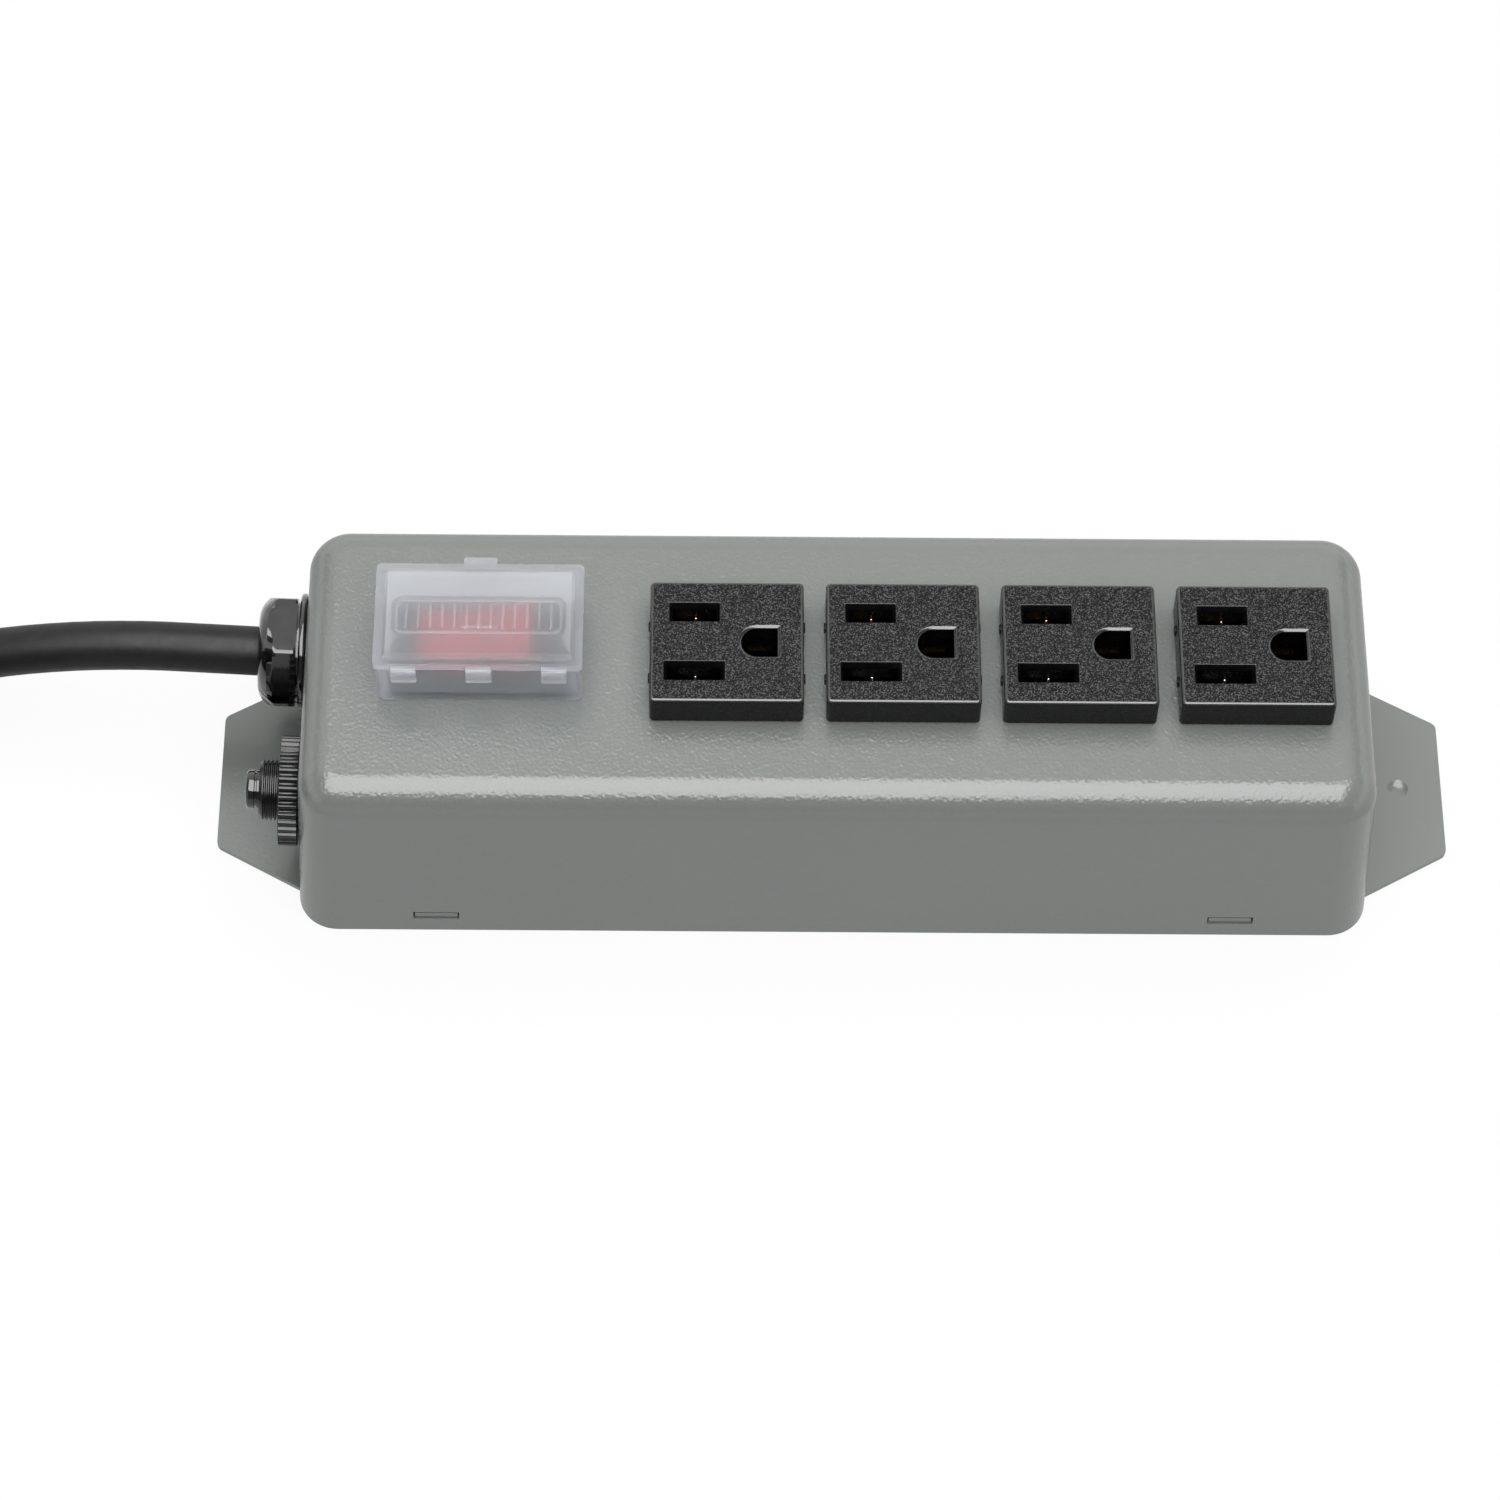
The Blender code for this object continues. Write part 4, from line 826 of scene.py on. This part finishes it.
def hole_outline(length, width, rounding=0.0, grow=0.0):
    """Outline of a contact hole, its left end rounded for the earth pin, widened by grow on each side."""
    half_x = length / 2 + grow
    half_y = width / 2 + grow
    if not rounding:
        return [(-half_x, -half_y), (half_x, -half_y), (half_x, half_y), (-half_x, half_y)]
    points = [(half_x, -half_y), (half_x, half_y)]
    radius = half_y * 0.97
    middle = -half_x + radius
    for step in range(25):
        angle = math.radians(90 + 180 * step / 24)
        points.append((middle + radius * math.cos(angle), half_y * math.sin(angle)))
    return points


def flared_cutter(name, x, y, length, width, rounding=0.0, flare=0.7, depth=1.3):
    """Straight throat with a chamfered mouth, as one cutter from below the face to above it."""
    heights = ((47.0, 0.0), (OUTLET_TOP - depth, 0.0), (OUTLET_TOP, flare), (OUTLET_TOP + depth, 2 * flare))
    rings = [[(x + across, y + along, z) for across, along in hole_outline(length, width, rounding, grow)]
             for z, grow in heights]
    return lofted(name, rings, Matrix.Identity(4))


def make_outlet():
    face = block("outlet_face", (-14.1, -13.0, 45.1), (14.1, 13.0, OUTLET_TOP))
    soften(face, 0.9, 4, where=upright)
    soften(face, 0.55, 4, where=lambda edge: all(vert.co.z > (OUTLET_TOP - 0.1) * MM for vert in edge.verts))
    body = block("outlet_body", (-13.2, -12.2, 21.3), (13.2, 12.2, 46.5), rounding=0.4, segments=2)
    nubs = []
    for x in (-14.1, 14.1):
        for y in (-5.2, 6.0):
            nubs.append(block("nub", (x - 0.35, y - 0.7, 46.2), (x + 0.35, y + 0.7, 48.0), 0.2, 2))
    join(face, [body] + nubs)
    holes = [flared_cutter("hot", BLADE_X, BLADE_Y, 8.0, 2.8),
             flared_cutter("neutral", BLADE_X, -BLADE_Y, 9.9, 2.8),
             flared_cutter("earth", EARTH_X, 0.0, 6.6, 6.0, 1.0, 0.55, 0.35)]
    for x, y, half_x, half_y in ((BLADE_X, BLADE_Y, 5.6, 3.0), (BLADE_X, -BLADE_Y, 5.6, 3.0),
                                 (EARTH_X, 0.0, 4.3, 4.3)):
        holes.append(block("chamber", (x - half_x, y - half_y, 20), (x + half_x, y + half_y, 47.6)))
    cut(face, holes)
    mouth = (OUTLET_TOP - 0.02) * MM
    low = (OUTLET_TOP - 1.5) * MM
    soften(face, 0.13, 2, angle=24,
           where=lambda edge: all(low < vert.co.z for vert in edge.verts) and not all(
               abs(vert.co.x) > 0.0133 or abs(vert.co.y) > 0.0122 for vert in edge.verts))
    for polygon in face.data.polygons:
        flat = polygon.normal.z > 0.93 and polygon.center.z > mouth
        rounded = polygon.normal.z > 0.35 and polygon.center.z > (OUTLET_TOP - 0.5) * MM
        polygon.material_index = 0 if flat else 2 if rounded else 1
    return face


def make_outlets():
    first = make_outlet()
    indices = [polygon.material_index for polygon in first.data.polygons]
    for index in range(4):
        mesh = first.data if index == 0 else first.data.copy()
        item = first if index == 0 else bpy.data.objects.new("outlet", mesh)
        if index:
            bpy.context.scene.collection.objects.link(item)
        item.name = f"outlet_face_{index + 1}"
        item.location = mm(OUTLET_FIRST_X + index * OUTLET_PITCH, 0, 0)
    for index in range(4):
        item = bpy.data.objects[f"outlet_face_{index + 1}"]
        dress(item, [OUTLET_GRAIN_AND_SPARKLE, OUTLET_SMOOTH, OUTLET_RIM], "strip", [f"outlet_{index + 1}"],
              sharp=40)
        item.data.polygons.foreach_set("material_index", indices)


def make_leaf(x, y, side, left, right, top, lip):
    """Spring leaf of a contact: a thin strip beside the blade that leans outwards at its top."""
    rings = []
    for height, lean in ((20.4, 0.0), (top - 1.5, 0.0), (top - 1.0, 0.12 * lip), (top - 0.5, 0.5 * lip),
                         (top, lip)):
        inner = y + side * (0.85 + lean)
        outer = inner + side * 0.5
        rings.append([(x + left, inner, height), (x + right, inner, height), (x + right, outer, height),
                      (x + left, outer, height)])
    leaf = lofted("leaf", rings, Matrix.Identity(4))
    return soften(leaf, 0.12, 2, angle=50)


def make_blade_contacts(name, y, made, node):
    """Bar with a pair of split leaves and one small upright tip under each blade slot."""
    left, right = CONTACT_BAR_X
    bar = block(name, (left, y - 2.5, 20.0), (right, y + 2.5, 21.0), rounding=0.2, segments=2)
    additions = []
    for index in range(4):
        x = OUTLET_FIRST_X + index * OUTLET_PITCH + BLADE_X
        for side in (-1, 1):
            additions.append(make_leaf(x, y, side, -3.25, -0.35, 44.8, 0.2))
            additions.append(make_leaf(x, y, side, 0.05, 3.25, 46.1, 0.3))
        additions.append(block("tip", (x, y + 0.85, 45.0), (x + 0.5, y + 1.34, 48.1), rounding=0.2,
                               segments=3))
    join(bar, additions)
    dress(bar, made, "strip", [node])


def make_earth_contacts():
    left, right = CONTACT_BAR_X
    bar = block("earth_contacts", (left, -3.4, 20.0), (right, 3.4, 21.0), rounding=0.2, segments=2)
    additions = []
    for index in range(4):
        x = OUTLET_FIRST_X + index * OUTLET_PITCH + EARTH_X
        for side in (-1, 1):
            low, high = sorted((side * 2.6, side * 3.3))
            additions.append(block("leaf", (x - 2.5, low, 20.4), (x + 2.5, high, 40.5), rounding=0.25,
                                   segments=2))
    join(bar, additions)
    # Darkened brass: painted shade on contacts deep under the earth holes.
    dress(bar, BRASS_PAINTED_SHADE, "strip", ["ground_contact_bar"])


make_outlets()
make_blade_contacts("line_contacts", BLADE_Y, BRASS, "line_contact_bar")
make_blade_contacts("neutral_contacts", -BLADE_Y, NICKEL, "neutral_contact_bar")
make_earth_contacts()


# ---------------------------------------------------------------- switch, rocker and cover

def make_switch():
    x, y = SWITCH
    body = block("switch_bezel", (x - 16.5, y - 8.6, 46.4), (x + 16.5, y + 8.6, 48.8))
    box = block("switch_box", (x - 13.8, y - 6.4, 24.0), (x + 13.8, y + 6.4, 47.4))
    join(body, [box])
    cut(body, [block("pocket", (x - 11.9, y - 5.9, 40.5), (x + 11.9, y + 5.9, 50))])
    soften(body, 0.45, 3)
    dress(body, SWITCH_BLACK, "strip", ["switch_body"])


def make_rocker():
    """Rocker with a dished top, its left end pressed at rest."""
    half = 10.5
    top = [(half * (1 - 2 * step / 24), 4.6 + 2.0 * abs(1 - 2 * step / 24) ** 1.25) for step in range(25)]
    outline = [(-half, 1.0), (-4.2, -3.5), (4.2, -3.5), (half, 1.0)] + top
    pivot = mm(SWITCH[0], SWITCH[1], 45.5)
    place = (Matrix.Translation(pivot) @ Matrix.Rotation(math.radians(-10), 4, "Y")
             @ Matrix.Rotation(math.radians(90), 4, "X"))
    rocker = prism("rocker_cap", outline, 11.0, place)
    soften(rocker, 0.4, 3)
    dress(rocker, RED, "rocker", ["switch_rocker"])


def knuckles(low_z, high_z, back_y):
    """The three blocks that hold one side of the film hinges."""
    made = []
    for index in (-1, 0, 1):
        x = HINGE_MIDDLE_X + index * HINGE_PITCH
        made.append(block(f"k{index}", (x - 2.375, HINGE_Y + 0.3, low_z), (x + 2.375, back_y + 0.5, high_z),
                          rounding=0.25, segments=2))
    return made


def make_cover_frame():
    x, y = SWITCH
    wall = block("cover_wall", (x - 18.7, y - 10.8, 45.1), (x + 18.7, y + 10.8, 55.3), rounding=1.2,
                 segments=5, chosen=upright)
    join(wall, knuckles(53.0, 55.2, y - 10.8))
    room = block("room", (x - 17.5, y - 9.6, 46.1), (x + 17.5, y + 9.6, 58), rounding=0.6, segments=3,
                 chosen=upright)
    half_x, half_y = SWITCH_HOLE
    hole = block("hole", (x - half_x, y - half_y, 44), (x + half_x, y + half_y, 55))
    cut(wall, [room, hole])
    soften(wall, 0.2, 2)
    dress(wall, CLEAR, "strip", ["cover_frame"])


def make_lid():
    """Lid with a raised panel, and in its lowered field a plain rounded outline with straight ribs."""
    x, y = SWITCH
    lid = block("lid_panel", (x - 19.0, y - 11.1, 55.6), (x + 19.0, y + 11.1, 57.2), rounding=1.0,
                segments=4, chosen=upright)
    rings = []
    for inset, height in ((1.3, 56.6), (1.9, 57.6), (2.2, 58.0)):
        half_x, half_y = 19.0 - inset, 11.1 - inset
        rings.append([(x - half_x, y - half_y, height), (x + half_x, y - half_y, height),
                      (x + half_x, y + half_y, height), (x - half_x, y + half_y, height)])
    raised = lofted("raised", rings, Matrix.Identity(4))
    latch = block("latch", (x - 3.1, y + 10.6, 55.8), (x + 3.1, y + 12.7, 57.1), rounding=0.35, segments=2)
    hook = block("hook", (x - 3.1, y + 11.6, 53.3), (x + 3.1, y + 12.6, 56.6), rounding=0.25, segments=2)
    join(lid, [raised, latch, hook] + knuckles(55.7, 57.0, y - 11.1))
    room = block("room", (x - 17.2, y - 9.3, 54), (x + 17.2, y + 9.3, 56.9), rounding=0.6, segments=3,
                 chosen=upright)
    cut(lid, [room])
    tongue = block("tongue", (x - 3.3, y - 2.4, 56.2), (x + 3.3, y + 9.5, 57.2), rounding=0.25, segments=2)
    ribs = []
    for index in range(13):
        rib_x = x + (index - 6) * 2.2
        ribs.append(block("rib", (rib_x - 0.22, y - 3.4, 57.7), (rib_x + 0.22, y + 1.6, 58.0)))
    outer = block("frame_out", (x - 15.2, y - 4.6, 57.7), (x + 15.2, y + 2.8, 58.0), rounding=1.4,
                  segments=5, chosen=upright)
    inner = block("frame_in", (x - 14.75, y - 4.15, 57), (x + 14.75, y + 2.35, 59), rounding=1.0,
                  segments=5, chosen=upright)
    cut(outer, [inner])
    join(lid, [tongue])
    lowered = block("field", (x - 15.9, y - 5.3, 57.82), (x + 15.9, y + 3.5, 58.6), rounding=1.8,
                    segments=5, chosen=upright)
    cut(lid, [lowered])
    join(lid, [outer] + ribs)
    soften(lid, 0.12, 2)
    dress(lid, [CLEAR, MILKY], "lid", ["cover_lid"])
    for polygon in lid.data.polygons:
        away_x, away_y, height = polygon.center / MM - Vector((x, y, 0))
        in_field = abs(away_x) < 15.3 and -4.7 < away_y < 2.9 and height > 57.85
        in_tongue = abs(away_x) < 3.35 and away_y > -2.5 and height < 56.95
        in_rim = height > 57.0 and polygon.normal.z < 0.9
        polygon.material_index = int(in_field or in_tongue or in_rim or away_y > 11.15 or away_y < -11.15)


def make_straps():
    """Three thin strips that carry the lid, each thinner and bulged at the hinge line."""
    for index in (-1, 0, 1):
        x = HINGE_MIDDLE_X + index * HINGE_PITCH
        rings = []
        for step in range(25):
            z = 53.2 + 3.7 * step / 24
            bulge = 0.12 * math.exp(-((z - HINGE_Z) / 0.45) ** 2)
            thin = 0.30 - 0.12 * math.exp(-((z - HINGE_Z) / 0.35) ** 2)
            back = HINGE_Y + 0.34 - bulge
            front = back - thin
            rings.append([(x - 2.3, front, z), (x + 2.3, front, z), (x + 2.3, back, z), (x - 2.3, back, z)])
        strap = lofted(f"hinge_strap_{index + 2}", rings, Matrix.Identity(4))
        soften(strap, 0.08, 2, angle=60, where=lambda edge: not (54.9 * MM < edge.verts[0].co.z < 56.0 * MM)
               or abs(edge.verts[0].co.z - edge.verts[1].co.z) > 0.00005)
        dress(strap, MILKY, None, (), weighted=False)
        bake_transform(strap)


make_switch()
make_rocker()
make_cover_frame()
make_lid()
make_straps()


# ---------------------------------------------------------------- fittings in the left end wall

def hexagon(angle, radius, height):
    """Six flats round the gland beyond its collar, the upper one turned very slightly to the front."""
    if radius < 9.0 or height < 1.9:
        return radius
    part = math.fmod(angle + math.tau + math.radians(33), math.radians(60)) - math.radians(30)
    return min(GLAND_FLAT / math.cos(part), radius)


def make_gland():
    place = axis_place(end_point(GLAND_Y, 0.0), END_AXIS)
    profile = [(5.0, -6.0), (8.0, -6.0), (8.0, 0.3), (10.8, 0.3), (11.2, 0.55), (11.3, 0.9), (11.2, 1.4),
               (10.8, 1.7), (9.6, 1.8), (9.6, 2.1), (11.2, 2.2), (11.7, 2.6), (11.7, 5.8), (11.3, 6.5),
               (10.2, 7.6), (9.3, 8.45), (8.4, 9.05), (7.4, 9.36), (6.2, 9.4), (5.5, 9.3), (5.0, 8.9)]
    for name, side, node in (("gland_upper", 1, "strain_relief_upper"),
                             ("gland_lower", -1, "strain_relief_lower")):
        half = turned(name, profile, place, 96, hexagon)
        low, high = sorted((-side * 20, side * 0.16))
        away = block("away", (-20, -20, low), (20, 20, high))
        away.matrix_world = Matrix.Translation(place.translation) @ Matrix.Rotation(END_DRAFT, 4, "Y")
        cutters = [away]
        if side > 0:
            notch = block("notch", (-7.4, -12.0, -0.5), (-3.2, -9.8, 1.3))
            notch.matrix_world = away.matrix_world
            cutters.append(notch)
        cut(half, cutters)
        soften(half, 0.4, 3, angle=24)
        dress(half, GLOSS, "strip", [node], sharp=40)


def make_breaker():
    place = axis_place(end_point(BREAKER_Y, 0.0), END_AXIS)
    outer = []
    hole = []
    ribs = 36
    for rib in range(ribs):
        for share, radius in ((0.0, 10.25), (0.30, 10.25), (0.52, 9.62), (0.78, 9.62)):
            angle = math.tau * (rib + share) / ribs
            outer.append((radius * math.cos(angle), radius * math.sin(angle)))
            hole.append((6.0 * math.cos(angle), 6.0 * math.sin(angle)))
    nut = prism("ring_nut", outer, 3.6, place @ Matrix.Translation(mm(0, 0, 2.1)), hole)
    soften(nut, 0.16, 2, angle=40)
    dress(nut, BREAKER_BLACK, "strip", ["breaker_nut"], sharp=45)

    profile = [(4.0, -1.5), (5.7, -1.5), (5.7, 3.3)]
    for thread in range(5):
        height = 3.3 + thread * 0.76
        profile += [(5.25, height + 0.20), (5.25, height + 0.34), (5.7, height + 0.54), (5.7, height + 0.70)]
    profile += [(5.3, 7.45), (5.1, 7.65), (4.2, 7.65), (4.0, 7.45)]
    bush = turned("threaded_bush", profile, place, 64)
    dress(bush, BREAKER_BLACK, "strip", ["breaker_bush"], sharp=25)

    profile = [(0, -9.0), (2.0, -9.0), (2.0, 0.2), (3.7, 0.2), (3.7, 8.1), (3.35, 8.25), (3.35, 8.5),
               (3.7, 8.65), (3.7, 9.5), (3.6, 9.85), (3.3, 10.08), (2.6, 10.14), (1.4, 10.15), (0, 10.15)]
    button = solid_turned("reset_cap", profile, place, 56)
    dress(button, GLOSS, "button", ["reset_button"], sharp=38)


make_gland()
make_breaker()


# ---------------------------------------------------------------- inner pieces that keep their CAD shape

for names, made in (
        (("switch_terminal_line", "switch_terminal_load", "breaker_terminal_line", "breaker_terminal_load",
          "ground_ring_terminal"), BRASS),
        (("ground_stud", "ground_nut"), STEEL),
        (("contact_tray", "insulating_sheet"), FIBRE),
        (("line_wire_supply", "line_wire_switch", "line_wire_outlets"), WIRE_BLACK),
        (("neutral_wire",), WIRE_WHITE),
        (("ground_wire", "ground_wire_outlets"), WIRE_GREEN),
        (("cord_inner_end",), JACKET),
        (("breaker_body",), BREAKER_BLACK)):
    for name in names:
        repaint(name, made)


# ---------------------------------------------------------------- floor and light

def make_floor():
    """Floor that the camera sees as nearly white. Other rays see it dull: the table lamps give its light."""
    bm = bmesh.new()
    place = Matrix.Translation((0, 0, -0.0002))
    bmesh.ops.create_grid(bm, x_segments=1, y_segments=1, size=6.0, matrix=place)
    floor = object_from(bm, "floor")
    made = finish("floor_white", (0.15, 0.15, 0.15), 0.9, Specular_IOR_Level=0.1)
    nodes = made.node_tree.nodes
    lit = nodes.new("ShaderNodeBsdfDiffuse")
    lit.inputs["Color"].default_value = (0.95, 0.95, 0.95, 1.0)
    glow = nodes.new("ShaderNodeEmission")
    glow.inputs["Strength"].default_value = 1.0
    seen = nodes.new("ShaderNodeMixShader")
    seen.inputs["Fac"].default_value = 0.9
    link(made, lit.outputs["BSDF"], seen.inputs[1])
    link(made, glow.outputs["Emission"], seen.inputs[2])
    path = nodes.new("ShaderNodeLightPath")
    mixer = nodes.new("ShaderNodeMixShader")
    link(made, path.outputs["Is Camera Ray"], mixer.inputs["Fac"])
    link(made, shader_of(made).outputs["BSDF"], mixer.inputs[1])
    link(made, seen.outputs["Shader"], mixer.inputs[2])
    link(made, mixer.outputs["Shader"], nodes["Material Output"].inputs["Surface"])
    floor.data.materials.append(made)


def lamp(name, position, target, size, radiance, diffuse=True, glossy=True):
    """A rectangular soft light of the given radiance, facing the target."""
    data = bpy.data.lights.new(name, "AREA")
    data.shape = "RECTANGLE"
    data.size = size[0]
    data.size_y = size[1]
    data.energy = radiance * math.pi * size[0] * size[1]
    item = bpy.data.objects.new(name, data)
    bpy.context.scene.collection.objects.link(item)
    item.location = position
    aim = Vector(target) - Vector(position)
    item.rotation_euler = aim.to_track_quat("-Z", "Y").to_euler()
    item.visible_camera = False
    item.visible_transmission = False
    item.visible_diffuse = diffuse
    item.visible_glossy = glossy
    return item


def overhead(name, tilt, size, radiance):
    """A light that only reflects, tilted from straight above towards the back."""
    away = 1.6
    lamp(name, (-0.1, away * math.sin(tilt), away * math.cos(tilt)), (-0.02, 0, 0.03), size, radiance,
         diffuse=False)


def make_light():
    """Even light from above, reflections from a softbox and white cards, and two lamps for a white table."""
    world = bpy.data.worlds.new("studio")
    bpy.context.scene.world = world
    world.use_nodes = True
    nodes = world.node_tree.nodes
    back = nodes["Background"]
    back.inputs["Color"].default_value = (1.0, 1.0, 1.0, 1.0)
    back.inputs["Strength"].default_value = 0.25
    seen = nodes.new("ShaderNodeBackground")
    seen.inputs["Strength"].default_value = 0.96
    path = nodes.new("ShaderNodeLightPath")
    mixer = nodes.new("ShaderNodeMixShader")
    world.node_tree.links.new(path.outputs["Is Camera Ray"], mixer.inputs["Fac"])
    world.node_tree.links.new(back.outputs["Background"], mixer.inputs[1])
    world.node_tree.links.new(seen.outputs["Background"], mixer.inputs[2])
    world.node_tree.links.new(mixer.outputs["Shader"], nodes["World Output"].inputs["Surface"])
    lamp("fill", (0.12, 0.0, 1.7), (0, 0, 0), (3.0, 2.2), 2.2, glossy=False)
    overhead("softbox", math.radians(-10.0), (1.7, 1.94), 6.8)
    lamp("table", (0, 0, -0.0001), (0, 0, 1), (4.0, 4.0), 0.6, diffuse=False)
    lamp("table_glow", (0, 0, -0.00012), (0, 0, 1), (4.0, 4.0), 0.68, glossy=False)
    card = 1.1
    overhead("card_high", math.radians(44.0), (2.6, 1.2), card)
    for name, position, size in (("card_back", (0.0, 2.2, 0.5), (5.0, 1.0)),
                                 ("card_left", (-2.4, 0.0, 0.5), (4.4, 1.0)),
                                 ("card_right", (2.4, 0.0, 0.5), (4.4, 1.0))):
        lamp(name, position, (0, 0, 0.02), size, card, diffuse=False)


make_floor()
make_light()
